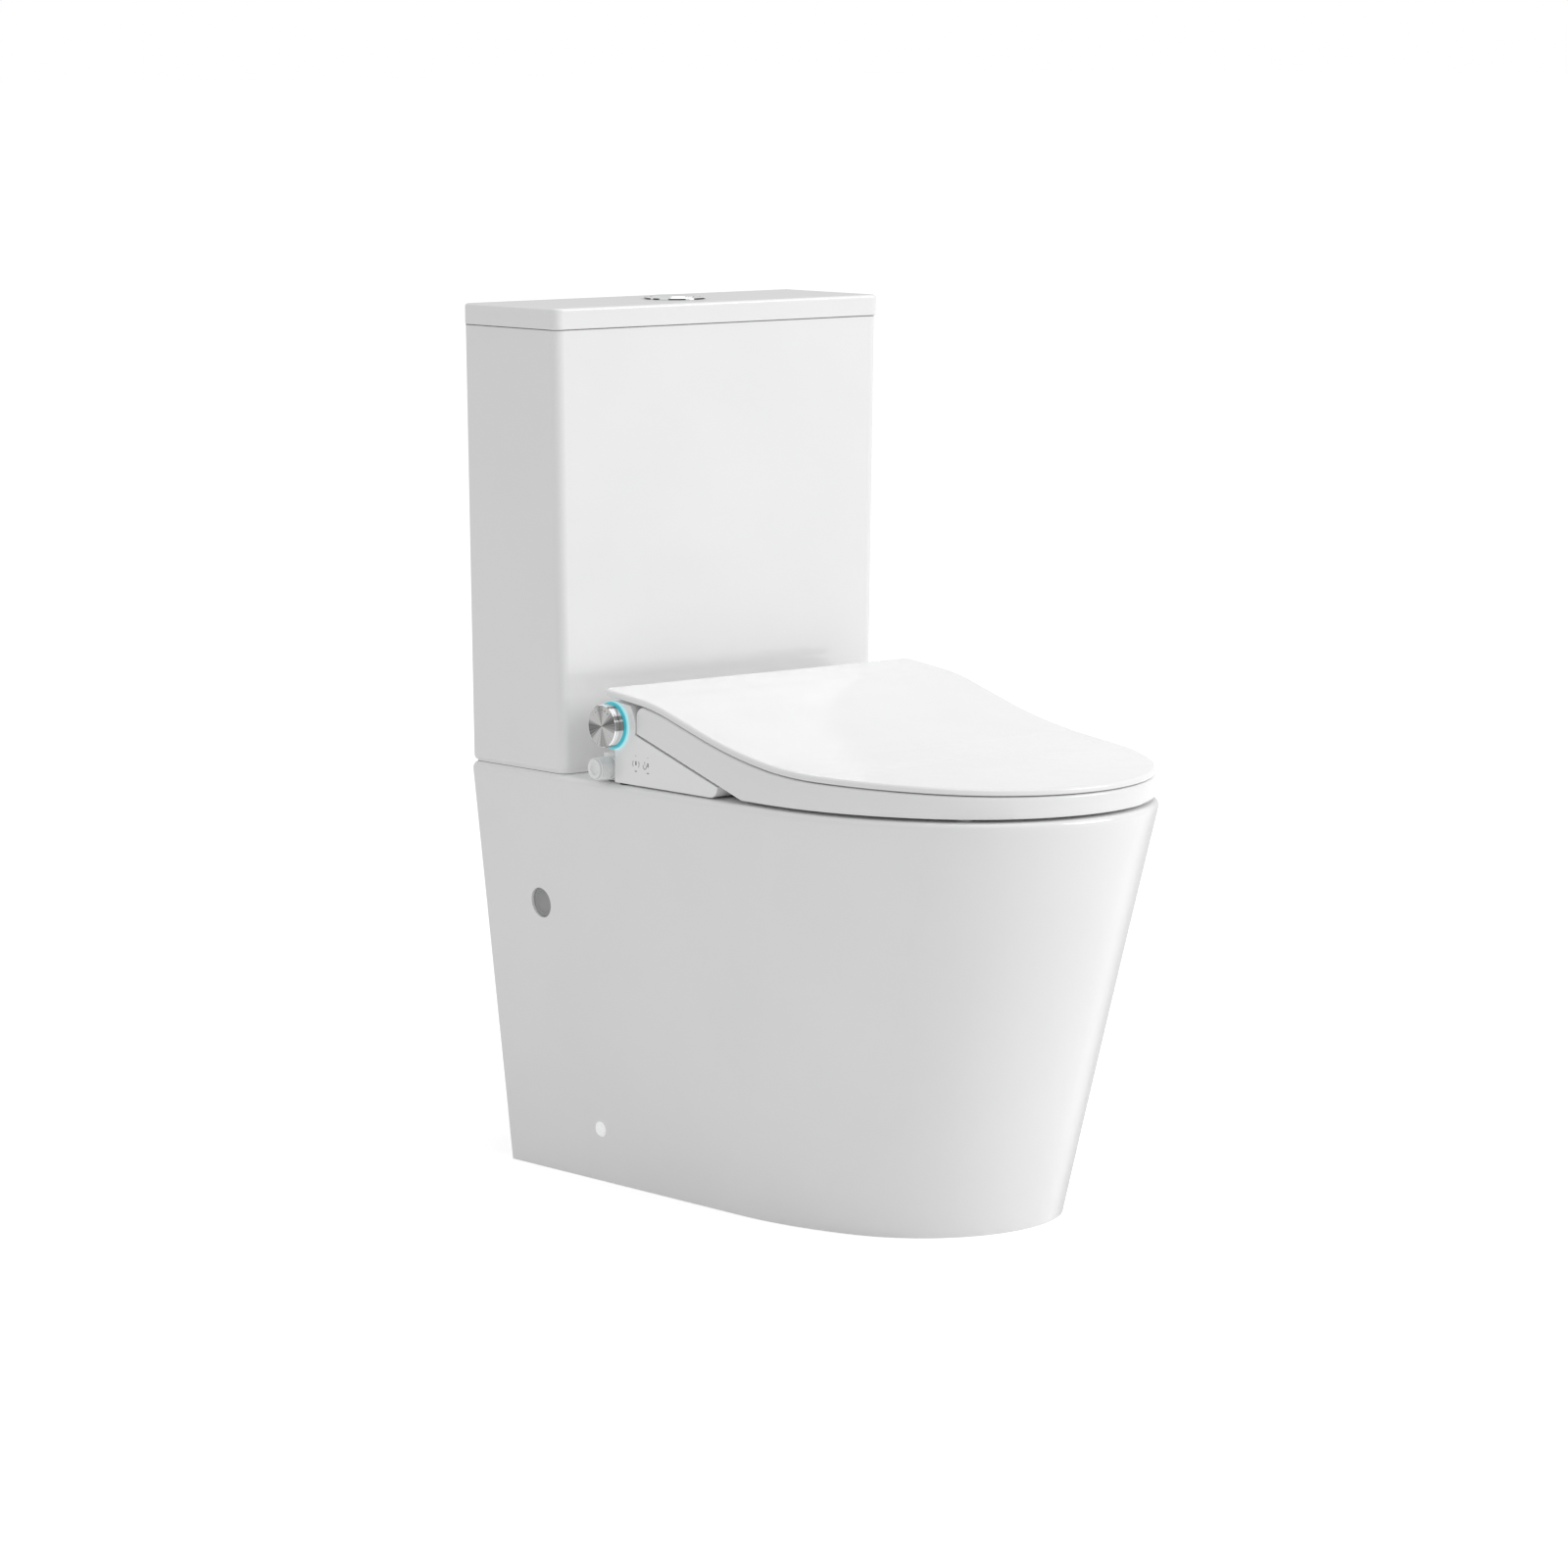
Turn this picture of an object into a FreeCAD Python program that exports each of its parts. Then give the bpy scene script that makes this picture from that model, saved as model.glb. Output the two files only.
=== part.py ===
import FreeCAD, Part
import Sketcher
import math
import os
import re

# A close-coupled, back-to-wall toilet with a slim bidet seat.
# Millimetres; x to the side, y towards the wall, z up from the floor.
SIZES = (
    # Pan outline at the deck and at the floor
    ("pan_top", 393.0),
    ("wall_back", 332.0),
    ("pan_half", 194.6),
    ("pan_side_end", -93.0),
    ("pan_front", 333.2),
    ("pan_nose_share", 0.884),
    ("foot_half", 149.0),
    ("foot_side_end", -10.0),
    ("foot_front", 226.0),
    ("foot_nose_share", 0.8926),
    ("rim_round", 7.0),
    ("pan_wall", 11.0),
    ("deck_deep", 48.0),
    # Bowl sections from the rim down to the sump
    ("bowl_wall", 10.0),
    ("bowl_over", 6.0),
    ("bowl_top_half", 132.0),
    ("bowl_top_reach", 172.0),
    ("bowl_top_mid", -135.0),
    ("bowl_mid_share", 0.763),
    ("bowl_mid_half", 126.0),
    ("bowl_mid_reach", 158.0),
    ("bowl_mid_mid", -131.0),
    ("bowl_low_share", 0.483),
    ("bowl_low_half", 91.0),
    ("bowl_low_reach", 114.0),
    ("bowl_low_mid", -102.0),
    ("sump_share", 0.163),
    ("sump_half", 40.0),
    ("sump_reach", 54.0),
    ("sump_mid", -64.0),
    # Trapway and waste outlet
    ("trap_bore", 36.0),
    ("trap_wall", 9.0),
    ("trap_lift", 38.0),
    ("trap_bend_y", 0.0),
    ("trap_bend", 60.0),
    ("trap_rise_angle", 52.0),
    ("trap_run", 96.0),
    ("trap_fall_angle", 30.0),
    ("outlet_z", 180.0),
    ("outlet_end", 300.0),
    # Flush way in the deck
    ("flush_set", 69.5),
    ("channel_half", 34.0),
    ("channel_drop", 36.0),
    ("channel_cover", 12.0),
    ("channel_front", 20.0),
    ("recess_clearance", 1.0),
    ("recess_deep", 28.0),
    ("inlet_radius", 32.0),
    # Cistern tank
    ("tank_seam", 1.5),
    ("tank_tall", 415.5),
    ("tank_top_half", 199.0),
    ("tank_top_depth", 138.0),
    ("tank_taper", 6.5),
    ("tank_front_taper", 1.0),
    ("tank_round", 10.0),
    ("tank_low_round", 5.0),
    ("tank_wall", 9.0),
    ("tank_floor", 12.0),
    ("tank_outlet_clearance", 2.0),
    # Cistern lid
    ("cover_overhang", 1.0),
    ("cover_thick", 20.0),
    ("cover_round", 9.0),
    ("cover_edge", 2.5),
    ("cover_low_edge", 1.5),
    ("ledge_deep", 7.0),
    ("ledge_wide", 6.0),
    ("ledge_clearance", 3.0),
    # Flush button
    ("bezel_radius", 30.0),
    ("bezel_high", 2.4),
    ("bezel_edge", 1.2),
    ("sleeve_radius", 25.6),
    ("sleeve_bore", 23.6),
    ("sleeve_clearance", 0.4),
    ("sleeve_tail", 22.0),
    ("sleeve_nut_radius", 36.0),
    ("sleeve_nut_high", 8.0),
    ("button_clearance", 0.4),
    ("button_proud", 3.2),
    ("button_dome", 0.8),
    ("button_deep", 18.0),
    ("button_split_x", 5.0),
    ("button_split", 0.8),
    ("rod_radius", 3.0),
    ("full_rod_x", 9.0),
    ("half_rod_x", 14.0),
    ("rod_clearance", 0.4),
    ("rod_entry", 4.0),
    ("rod_socket_deep", 14.0),
    # Flush valve
    ("fit", 0.05),
    ("washer_thick", 2.5),
    ("valve_flange_radius", 40.0),
    ("valve_flange_thick", 4.0),
    ("valve_seat_high", 4.0),
    ("valve_seat_radius", 30.0),
    ("valve_bore", 26.0),
    ("valve_tail_radius", 31.0),
    ("valve_tail_drop", 30.0),
    ("valve_post_ring", 34.0),
    ("valve_post_radius", 3.5),
    ("valve_post_high", 56.0),
    ("valve_collar_radius", 38.5),
    ("valve_collar_high", 7.0),
    ("valve_tower_radius", 29.0),
    ("valve_tower_bore", 18.0),
    ("valve_tower_clear", 104.0),
    ("valve_cap_thick", 20.0),
    ("valve_seal_thick", 3.0),
    ("valve_seal_bore", 14.0),
    ("overflow_radius", 13.0),
    ("overflow_bore", 10.0),
    ("overflow_foot_radius", 28.0),
    ("overflow_foot_thick", 4.0),
    ("overflow_clear", 42.0),
    ("valve_nut_radius", 42.0),
    ("valve_nut_high", 16.0),
    ("gasket_radius", 45.0),
    # Fill valve
    ("fill_inset", 59.0),
    ("fill_hole", 22.0),
    ("fill_tank_hole", 11.0),
    ("fill_shank_radius", 10.4775),
    ("fill_shank_drop", 46.0),
    ("fill_shank_long", 30.0),
    ("fill_stem_radius", 10.7),
    ("fill_bore", 6.0),
    ("fill_flange_radius", 17.0),
    ("fill_flange_thick", 4.0),
    ("fill_tower_radius", 11.0),
    ("fill_tower_clear", 120.0),
    ("fill_head_radius", 17.0),
    ("fill_head_high", 32.0),
    ("fill_nut_high", 12.0),
    ("float_radius", 30.0),
    ("float_clearance", 0.5),
    ("float_rise", 68.0),
    ("float_stop_high", 6.0),
    ("float_stop_radius", 16.0),
    ("float_high", 60.0),
    ("float_round", 6.0),
    # Tank bolts
    ("tank_bolt_share", 0.377),
    ("tank_bolt_radius", 4.0),
    ("tank_bolt_hole", 7.0),
    ("tank_bolt_tail", 23.0),
    ("tank_bolt_head_radius", 7.5),
    ("tank_bolt_head_high", 6.0),
    ("cone_washer_high", 8.0),
    ("cone_washer_foot", 14.0),
    ("cone_washer_top", 11.0),
    ("wing_nut_radius", 9.0),
    ("wing_nut_high", 12.0),
    ("wing_reach", 19.0),
    ("wing_thick", 3.0),
    ("wing_drop", 3.0),
    # Rubber pads between tank and deck
    ("pad_inner_x", 52.0),
    ("pad_long", 58.0),
    ("pad_wide", 15.0),
    ("pad_front_y", 206.0),
    ("pad_rear_y", 304.0),
    # Side plug, floor bracket, screw and cap
    ("plug_y", 246.0),
    ("plug_share", 0.6743),
    ("plug_hole", 14.5),
    ("plug_clearance", 0.1),
    ("plug_recess", 2.5),
    ("plug_lip", 2.0),
    ("plug_lip_radius", 16.5),
    ("plug_lip_gap", 0.6),
    ("plug_dish", 1.2),
    ("plug_dish_radius", 11.0),
    ("bracket_y", 187.0),
    ("bracket_wide", 40.0),
    ("bracket_high", 76.0),
    ("bracket_thick", 8.0),
    ("bracket_foot_thick", 5.0),
    ("bracket_foot_x", 96.0),
    ("floor_hole_x", 112.0),
    ("floor_hole_radius", 4.5),
    ("screw_z", 52.0),
    ("screw_radius", 3.0),
    ("screw_hole", 3.5),
    ("screw_head_radius", 5.8),
    ("screw_head_high", 3.0),
    ("screw_recess_radius", 6.5),
    ("screw_recess_deep", 4.5),
    ("screw_inner", 12.0),
    ("cap_radius", 7.4),
    ("cap_high", 3.0),
    ("cap_flat_radius", 5.0),
    ("cap_skirt", 1.2),
    # Seat mounting plate, bolts, bushes and nuts
    ("plate_half", 100.0),
    ("plate_front", 78.0),
    ("plate_rear", 122.0),
    ("plate_thick", 4.5),
    ("plate_round", 8.0),
    ("plate_clearance", 0.6),
    ("seat_bolt_x", 70.0),
    ("seat_bolt_y", 100.0),
    ("seat_bolt_radius", 4.0),
    ("seat_bolt_head_radius", 8.0),
    ("seat_bolt_head_high", 4.5),
    ("seat_bolt_tail", 23.0),
    ("seat_bolt_hole", 7.5),
    ("bush_clearance", 0.1),
    ("seat_nut_radius", 10.0),
    ("seat_nut_high", 12.0),
    # Hinge axis shared by ring and lid, also the knob's axis
    ("hinge_y", 123.0),
    ("hinge_rise", 54.5),
    ("pin_radius", 4.0),
    ("knuckle_radius", 14.0),
    ("ring_knuckle_x", 100.0),
    ("knuckle_gap", 2.0),
    ("knuckle_wide", 16.0),
    ("slot_clearance", 1.5),
    ("slot_drop", 17.5),
    ("slot_front", 86.0),
    ("slot_rear", 150.0),
    ("slot_rise", 32.5),
    ("pin_grip", 36.5),
    ("damper_radius", 12.0),
    ("damper_long", 48.5),
    # Bidet base
    ("base_lift", 1.5),
    ("base_rear", 121.0),
    ("base_gap", 1.5),
    ("base_tip_y", -27.0),
    ("base_front_radius", 31.8),
    ("base_low_angle", 11.4),
    ("base_high_angle", 40.0),
    ("barrel_radius", 22.5),
    ("base_edge", 1.2),
    ("block_step", 7.0),
    ("block_front", 110.0),
    ("block_rear", 146.0),
    ("block_tall", 24.5),
    ("bowl_gap_half", 152.0),
    ("bowl_gap_corner", 25.0),
    ("bowl_gap_y", 45.0),
    ("base_front_end", 80.0),
    ("bay_half", 92.0),
    ("bay_front", 52.0),
    ("bay_rear", 143.0),
    ("bay_tall", 22.0),
    ("guide_bay_half", 27.0),
    ("guide_bay_rear", 136.0),
    ("guide_bay_tall", 26.5),
    ("window_half", 18.0),
    ("window_tall", 15.5),
    ("hose_bay_wall", 5.0),
    ("hose_bay_front", 124.0),
    ("cover_strip_thick", 2.0),
    ("cover_strip_clearance", 0.15),
    ("boss_wall", 5.0),
    ("boss_rear", 136.0),
    ("boss_drop", 11.5),
    ("front_foot_x", 168.0),
    ("front_foot_y", -6.0),
    ("rear_foot_x", 180.0),
    ("rear_foot_y", 109.0),
    ("foot_pad_radius", 6.0),
    # Water way inside the base
    ("nipple_y", 134.5),
    ("nipple_rise", 12.0),
    ("nipple_radius", 10.4775),
    ("nipple_bore", 6.0),
    ("nipple_long", 18.0),
    ("nipple_collar_thick", 3.0),
    ("nipple_collar_radius", 11.6),
    ("nipple_tail_radius", 8.0),
    ("nipple_tail_long", 18.0),
    ("filter_thick", 2.0),
    ("filter_depth", 2.5),
    ("hose_radius", 2.6),
    ("hose_clearance", 0.25),
    ("hose_bend", 4.5),
    ("hose_set", 3.0),
    ("hose_step", 7.5),
    ("hose_joint", 1.0),
    ("hose_pitch", 6.3),
    ("valve_flat_drop", 12.5),
    ("control_radius", 16.0),
    ("control_clearance", 0.1),
    ("control_recess", 0.5),
    ("control_long", 50.5),
    ("spindle_radius", 4.0),
    ("spindle_sunk", 28.5),
    ("spindle_grip", 6.7),
    # Knob and light ring
    ("glow_radius", 22.4),
    ("glow_bore", 17.0),
    ("glow_thick", 1.8),
    ("knob_gap", 0.5),
    ("knob_radius", 20.35),
    ("knob_deep", 11.4),
    ("knob_back_edge", 1.6),
    ("knob_front_edge", 1.2),
    ("knob_recess_radius", 17.8),
    ("knob_recess", 0.8),
    ("knob_cap_thick", 0.6),
    ("knob_cap_clearance", 0.1),
    # Nozzles
    ("nozzle_x", 9.0),
    ("nozzle_radius", 4.5),
    ("nozzle_clearance", 0.15),
    ("nozzle_rear_y", 132.0),
    ("nozzle_rise", 17.0),
    ("nozzle_tilt_angle", 6.8),
    ("nozzle_start", 4.0),
    ("nozzle_long", 78.0),
    ("nozzle_tip", 2.0),
    ("nozzle_jet_radius", 1.0),
    ("nozzle_jet_back", 7.0),
    ("nozzle_jet_deep", 2.0),
    ("guide_half", 18.0),
    ("guide_half_high", 7.0),
    ("guide_long", 76.0),
    ("guide_wall", 2.0),
    ("guide_pad_half", 10.0),
    ("guide_pad_front", 96.0),
    ("guide_pad_long", 20.0),
    ("guide_pad_deep", 10.0),
    ("guard_half", 24.0),
    ("guard_thick", 2.0),
    ("guard_tall", 22.5),
    ("guard_hole", 5.6),
    # Curve of the seam between ring and lid, seen from the side
    ("lid_rear", 140.0),
    ("seam_rear_rise", 82.0),
    ("seam_crest_y", 66.0),
    ("seam_crest_rise", 74.2),
    ("seam_crest_run", 22.0),
    ("seam_foot_y", -78.0),
    ("seam_foot_rise", 32.0),
    ("seam_foot_run", 78.0),
    ("seam_front", 345.0),
    ("seam_front_rise", 22.7),
    # Seat ring
    ("seat_half", 190.0),
    ("seat_side_end", -93.0),
    ("seat_front", 329.0),
    ("seat_nose_share", 0.8842),
    ("lid_gap", 1.2),
    ("ring_lift", 3.0),
    ("ring_rear", 90.2),
    ("ring_heel_y", -60.0),
    ("ring_shoulder_y", 85.0),
    ("ring_shoulder_rise", 47.5),
    ("ring_hole_half", 105.0),
    ("ring_hole_mid", -120.0),
    ("ring_hole_front", 270.0),
    ("ring_hole_nose_share", 0.81),
    ("ring_hole_back", 12.0),
    ("ring_hole_tail_share", 0.905),
    ("ring_top_round", 2.5),
    ("ring_hole_round", 8.0),
    ("ring_low_round", 2.0),
    ("ring_corner_round", 9.0),
    ("arm_front", 82.0),
    ("arm_drop", 1.5),
    ("arm_rise", 12.5),
    # Seat lid
    ("lid_thick", 5.8),
    ("lid_corner_round", 9.0),
    ("lid_top_round", 3.0),
    ("lid_low_round", 1.0),
    ("lid_knuckle_root", 2.0),
    # Bumpers
    ("bumper_radius", 7.0),
    ("bumper_front_x", 105.0),
    ("bumper_front_y", -268.0),
    ("bumper_rear_x", 163.0),
    ("bumper_rear_y", -70.0),
    ("lid_bumper_radius", 6.0),
    ("lid_bumper_front_x", 125.0),
    ("lid_bumper_front_y", -230.0),
    ("lid_bumper_rear_x", 165.0),
    ("lid_bumper_rear_y", -20.0),
    # Room for cutting tools
    ("margin", 40.0),
)

# Places and sizes that follow from others; each is a sum of named sizes
DERIVED = {
    "pan_nose": "pan_half * pan_nose_share",
    "foot_nose": "foot_half * foot_nose_share",
    "cavity_roof": "pan_top - deck_deep",
    "bowl_mid_z": "pan_top * bowl_mid_share",
    "bowl_low_z": "pan_top * bowl_low_share",
    "sump_z": "pan_top * sump_share",
    "trap_low_z": "sump_z + trap_lift",
    "flush_y": "wall_back - flush_set",
    "channel_low": "pan_top - channel_drop",
    "channel_high": "pan_top - channel_cover",
    "recess_floor": "pan_top - recess_deep",
    "recess_radius": "gasket_radius + recess_clearance",
    "plug_z": "pan_top * plug_share",
    "tank_low": "pan_top + tank_seam",
    "tank_in": "tank_low + tank_floor",
    "tank_high": "tank_low + tank_tall",
    "tank_low_half": "tank_top_half - tank_taper",
    "tank_low_depth": "tank_top_depth - tank_front_taper",
    "tank_outlet_radius": "valve_tail_radius + tank_outlet_clearance",
    "gasket_bore": "tank_outlet_radius",
    "cover_half": "tank_top_half + cover_overhang",
    "cover_depth": "tank_top_depth + cover_overhang",
    "cover_top": "tank_high + cover_thick",
    "fill_x": "tank_top_half - fill_inset",
    "tank_bolt_x": "tank_top_half * tank_bolt_share",
    "valve_flange": "tank_in + washer_thick",
    "valve_seat": "valve_flange + valve_flange_thick + valve_seat_high",
    "valve_tail_low": "tank_low - valve_tail_drop",
    "valve_tower_top": "tank_high - valve_tower_clear",
    "overflow_top": "valve_tower_top - overflow_clear",
    "fill_shank_low": "tank_low - fill_shank_drop",
    "fill_tower_top": "tank_high - fill_tower_clear",
    "float_low": "tank_in + float_rise",
    "tank_bolt_low": "cavity_roof - tank_bolt_tail",
    "seat_bolt_low": "cavity_roof - seat_bolt_tail",
    "base_low": "pan_top + base_lift",
    "ring_low": "pan_top + ring_lift",
    "plate_top": "pan_top + plate_thick",
    "hinge_z": "pan_top + hinge_rise",
    "lid_knuckle_x": "ring_knuckle_x + knuckle_wide + knuckle_gap",
    "slot_inner_x": "ring_knuckle_x - slot_clearance",
    "slot_outer_x": "lid_knuckle_x + knuckle_wide + knuckle_gap",
    "slot_floor": "hinge_z - slot_drop",
    "slot_top": "hinge_z + slot_rise",
    "pin_inner_x": "slot_inner_x - pin_grip",
    "pin_outer_x": "slot_outer_x - slot_clearance",
    "damper_inner_x": "slot_inner_x - damper_long",
    "base_half": "seat_half",
    "block_half": "base_half - block_step",
    "block_top": "base_low + block_tall",
    "bay_roof": "base_low + bay_tall",
    "guide_bay_roof": "base_low + guide_bay_tall",
    "window_top": "base_low + window_tall",
    "hose_bay_outer": "block_half - hose_bay_wall",
    "boss_outer": "inlet_hose_x + boss_wall",
    "boss_inner": "front_hose_x - boss_wall",
    "boss_top": "hinge_z - boss_drop",
    "nipple_z": "base_low + nipple_rise",
    "nipple_collar": "block_half + nipple_collar_thick",
    "nipple_end": "nipple_collar + nipple_long",
    "nipple_tail_end": "block_half - nipple_tail_long",
    "hose_y": "nipple_y - hose_set",
    "inlet_hose_start": "nipple_tail_end + hose_joint",
    "inlet_hose_x": "nipple_tail_end - hose_step",
    "rear_hose_x": "inlet_hose_x - hose_step",
    "rear_hose_z": "nipple_z",
    "front_hose_x": "rear_hose_x - hose_step",
    "front_hose_z": "nipple_z + hose_pitch",
    "valve_flat_z": "hinge_z - valve_flat_drop",
    "control_outer": "base_half - control_recess",
    "control_inner": "control_outer - control_long",
    "control_bore_end": "control_inner - control_clearance",
    "knob_back": "base_half + glow_thick + knob_gap",
    "spindle_inner": "control_outer - spindle_sunk",
    "spindle_outer": "knob_back + spindle_grip",
    "nozzle_rear_z": "base_low + nozzle_rise",
    "guard_top": "base_low + guard_tall",
    "guard_reach": "nozzle_rear_y - bowl_gap_y + guard_thick / 2",
    "guard_hole_z": "nozzle_rear_z - guard_reach * tan(nozzle_tilt_angle)",
    "seat_nose": "seat_half * seat_nose_share",
    "ring_hole_nose": "ring_hole_half * ring_hole_nose_share",
    "ring_hole_tail": "ring_hole_half * ring_hole_tail_share",
    "seam_rear_z": "pan_top + seam_rear_rise",
    "seam_crest_z": "pan_top + seam_crest_rise",
    "seam_foot_z": "pan_top + seam_foot_rise",
    "seam_front_z": "pan_top + seam_front_rise",
    "ring_shoulder_z": "pan_top + ring_shoulder_rise",
    "ring_slope": "(ring_shoulder_z - ring_low) / (ring_shoulder_y - ring_heel_y)",
    "base_tip_round": "ring_low - base_gap - base_low + (base_tip_y - ring_heel_y) * ring_slope",
    "crest_slope": "(seam_rear_z - seam_crest_z) / (lid_rear - seam_crest_y)",
    "seam_slope": "(seam_crest_z - seam_foot_z) / (seam_crest_y - seam_foot_y)",
    "front_slope": "(seam_foot_z - seam_front_z) / (seam_foot_y + seam_front)",
    "arm_low": "hinge_z - arm_drop",
    "arm_high": "hinge_z + arm_rise",
    "lid_knuckle_top": "seam_rear_z + lid_knuckle_root",
    "skirt_lean": "(pan_half - foot_half) / pan_top",
}

# Sheet
doc = FreeCAD.newDocument("bidet_toilet")
sheet = doc.addObject("Spreadsheet::Sheet", "Sizes")
for row, (alias, size) in enumerate(SIZES, 1):
    sheet.set("A%d" % row, alias)
    sheet.set("B%d" % row, str(size))
    sheet.setAlias("B%d" % row, alias)
doc.recompute()
ALIASES = {alias for alias, size in SIZES}
ORIGIN = FreeCAD.Vector(0, 0, 0)
UP = FreeCAD.Vector(0, 0, 1)
NODES = []


def spelled(text):
    """A sum with every derived place written out in named sizes."""
    words = re.compile(r"[a-z][a-z0-9_]*")
    while any(word in DERIVED for word in words.findall(text)):
        text = words.sub(lambda m: "(%s)" % DERIVED[m.group(0)] if m.group(0) in DERIVED else m.group(0), text)
    return text


def bound(text):
    """Sheet expression of a sum of named sizes, as other objects read it."""
    words = re.compile(r"[a-z][a-z0-9_]*")
    return words.sub(lambda m: "Sizes." + m.group(0) if m.group(0) in ALIASES else m.group(0), spelled(text))


def val(text):
    """Number that a sum of named sizes gives now."""
    return float(sheet.evalExpression(spelled(text)))


def tie(thing, prop, text):
    """Binds a property to a sum of named sizes."""
    thing.setExpression(prop, bound(text))


# Names of the pan's outline sizes, and shares that shape rounded edges
FOOT = ("foot_half", "foot_side_end", "foot_front", "foot_nose")
DECK = ("pan_half", "pan_side_end", "pan_front", "pan_nose")
SKETCH_POINTS = ("whole", "start", "end", "centre")
START, END, CENTRE = (SKETCH_POINTS.index(name) for name in ("start", "end", "centre"))
SKETCH_ORIGIN = (-1, START)
ROUND_STEPS = 4
ROUND_TURNS = [math.pi / 2 * step / ROUND_STEPS for step in range(ROUND_STEPS + 1)]
ROUND_SHARES = [(round(math.sin(turn), 6), round(1 - math.cos(turn), 6)) for turn in ROUND_TURNS]
LEVEL_SHARE = 0.6
WALL_SHARE = 0.3
SKIRT_LEAN = math.degrees(math.atan(val("skirt_lean")))


def at_height(low, high, height):
    """Outline size of the pan's straight taper at a height."""
    return "(%s + (%s - %s) * %s / pan_top)" % (low, high, low, height)


# Sketch helpers
def new_body(name):
    body = doc.addObject("PartDesign::Body", name)
    body.Label = name
    return body


def sketch_on(body, plane, offset="0"):
    """Sketch on one of the body's origin planes, moved along the world axis it faces."""
    sketch = body.newObject("Sketcher::SketchObject", body.Name + "_sketch")
    role = plane + "_Plane"
    support = [item for item in body.Origin.OriginFeatures if item.Role == role][0]
    sketch.AttachmentSupport = [(support, "")]
    sketch.MapMode = "FlatFace"
    sign = "-1" if plane == "XZ" else "1"
    tie(sketch, "AttachmentOffset.Base.z", "%s * (%s)" % (sign, offset))
    doc.recompute([sketch])
    return sketch


def limit(sketch, constraint, text):
    """Adds a dimension and binds it to the sheet."""
    index = sketch.addConstraint(constraint)
    tie(sketch, "Constraints[%d]" % index, text)


def pin_point(sketch, geometry, corner, x, y):
    """Holds a sketch point at two sums of named sizes."""
    limit(sketch, Sketcher.Constraint("DistanceX", *SKETCH_ORIGIN, geometry, corner, val(x)), x)
    limit(sketch, Sketcher.Constraint("DistanceY", *SKETCH_ORIGIN, geometry, corner, val(y)), y)


def join(sketch, first, second, kind="Coincident"):
    """Ties the end points (geometry, corner) of two runs."""
    sketch.addConstraint(Sketcher.Constraint(kind, first[0], first[1], second[0], second[1]))


def arc_through(start, end, radius, left):
    """Arc shorter than a half turn from start to end; left means anticlockwise."""
    chord = end - start
    half = chord.Length / 2
    side = FreeCAD.Vector(-chord.y, chord.x, 0).normalize()
    rise = math.sqrt(max(radius * radius - half * half, 0.0))
    centre = (start + end) * 0.5 + side * (rise if left else -rise)
    first, last = (start, end) if left else (end, start)
    begin = math.atan2(first.y - centre.y, first.x - centre.x)
    finish = math.atan2(last.y - centre.y, last.x - centre.x)
    return Part.ArcOfCircle(Part.Circle(centre, UP, radius), begin, finish)


def chain(sketch, points, closed=True):
    """Runs through points given as (x, y), or (x, y, radius, left) when an arc leads there."""
    spots = [FreeCAD.Vector(val(item[0]), val(item[1]), 0) for item in points]
    order = list(range(1, len(points))) + ([0] if closed else [])
    first = sketch.GeometryCount
    ends, limits = [], []
    for step, target in enumerate(order):
        geometry = first + step
        start, end = spots[step], spots[target]
        run = [(geometry, START), (geometry, END)]
        x, y, *arc = points[target]
        if arc:
            radius, left = arc
            sketch.addGeometry(arc_through(start, end, val(radius), left), False)
            limits.append((geometry, radius))
            ends.append(run if left else run[::-1])
        else:
            sketch.addGeometry(Part.LineSegment(start, end), False)
            ends.append(run)
    for step, target in enumerate(order):
        if step + 1 < len(order):
            join(sketch, ends[step][1], ends[step + 1][0])
    if closed:
        join(sketch, ends[-1][1], ends[0][0])
    else:
        pin_point(sketch, *ends[-1][1], *points[-1][:2])
    for step in range(len(order)):
        pin_point(sketch, *ends[step][0], *points[step][:2])
    for geometry, radius in limits:
        limit(sketch, Sketcher.Constraint("Radius", geometry, val(radius)), radius)
    return sketch


def circle(sketch, x, y, radius):
    """Circle held at a point with a bound radius."""
    centre = FreeCAD.Vector(val(x), val(y), 0)
    index = sketch.addGeometry(Part.Circle(centre, UP, val(radius)), False)
    pin_point(sketch, index, CENTRE, x, y)
    limit(sketch, Sketcher.Constraint("Radius", index, val(radius)), radius)
    return sketch


def rectangle(sketch, left, right, low, high):
    """Rectangle between two pairs of sums."""
    return chain(sketch, [(left, low), (right, low), (right, high), (left, high)])


def side_radius(half, run, nose):
    """Radius of the side arc that runs tangent from a straight side into a nose arc."""
    return (half * half + run * run - 2 * nose * run) / (2 * (half - nose))


def nose_arcs(half, side, front, nose):
    """Left side arc, nose arc and right side arc of an outline's rounded front."""
    centre = FreeCAD.Vector(0, nose - front, 0)
    radius = side_radius(half, side + front, nose)
    left = FreeCAD.Vector(radius - half, side, 0)
    right = FreeCAD.Vector(half - radius, side, 0)
    way = centre - left
    turn = math.atan2(way.y, way.x) % (2 * math.pi)
    return (
        Part.ArcOfCircle(Part.Circle(left, UP, radius), math.pi, turn),
        Part.ArcOfCircle(Part.Circle(centre, UP, nose), turn, 3 * math.pi - turn),
        Part.ArcOfCircle(Part.Circle(right, UP, radius), 3 * math.pi - turn, 2 * math.pi),
    )


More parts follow.
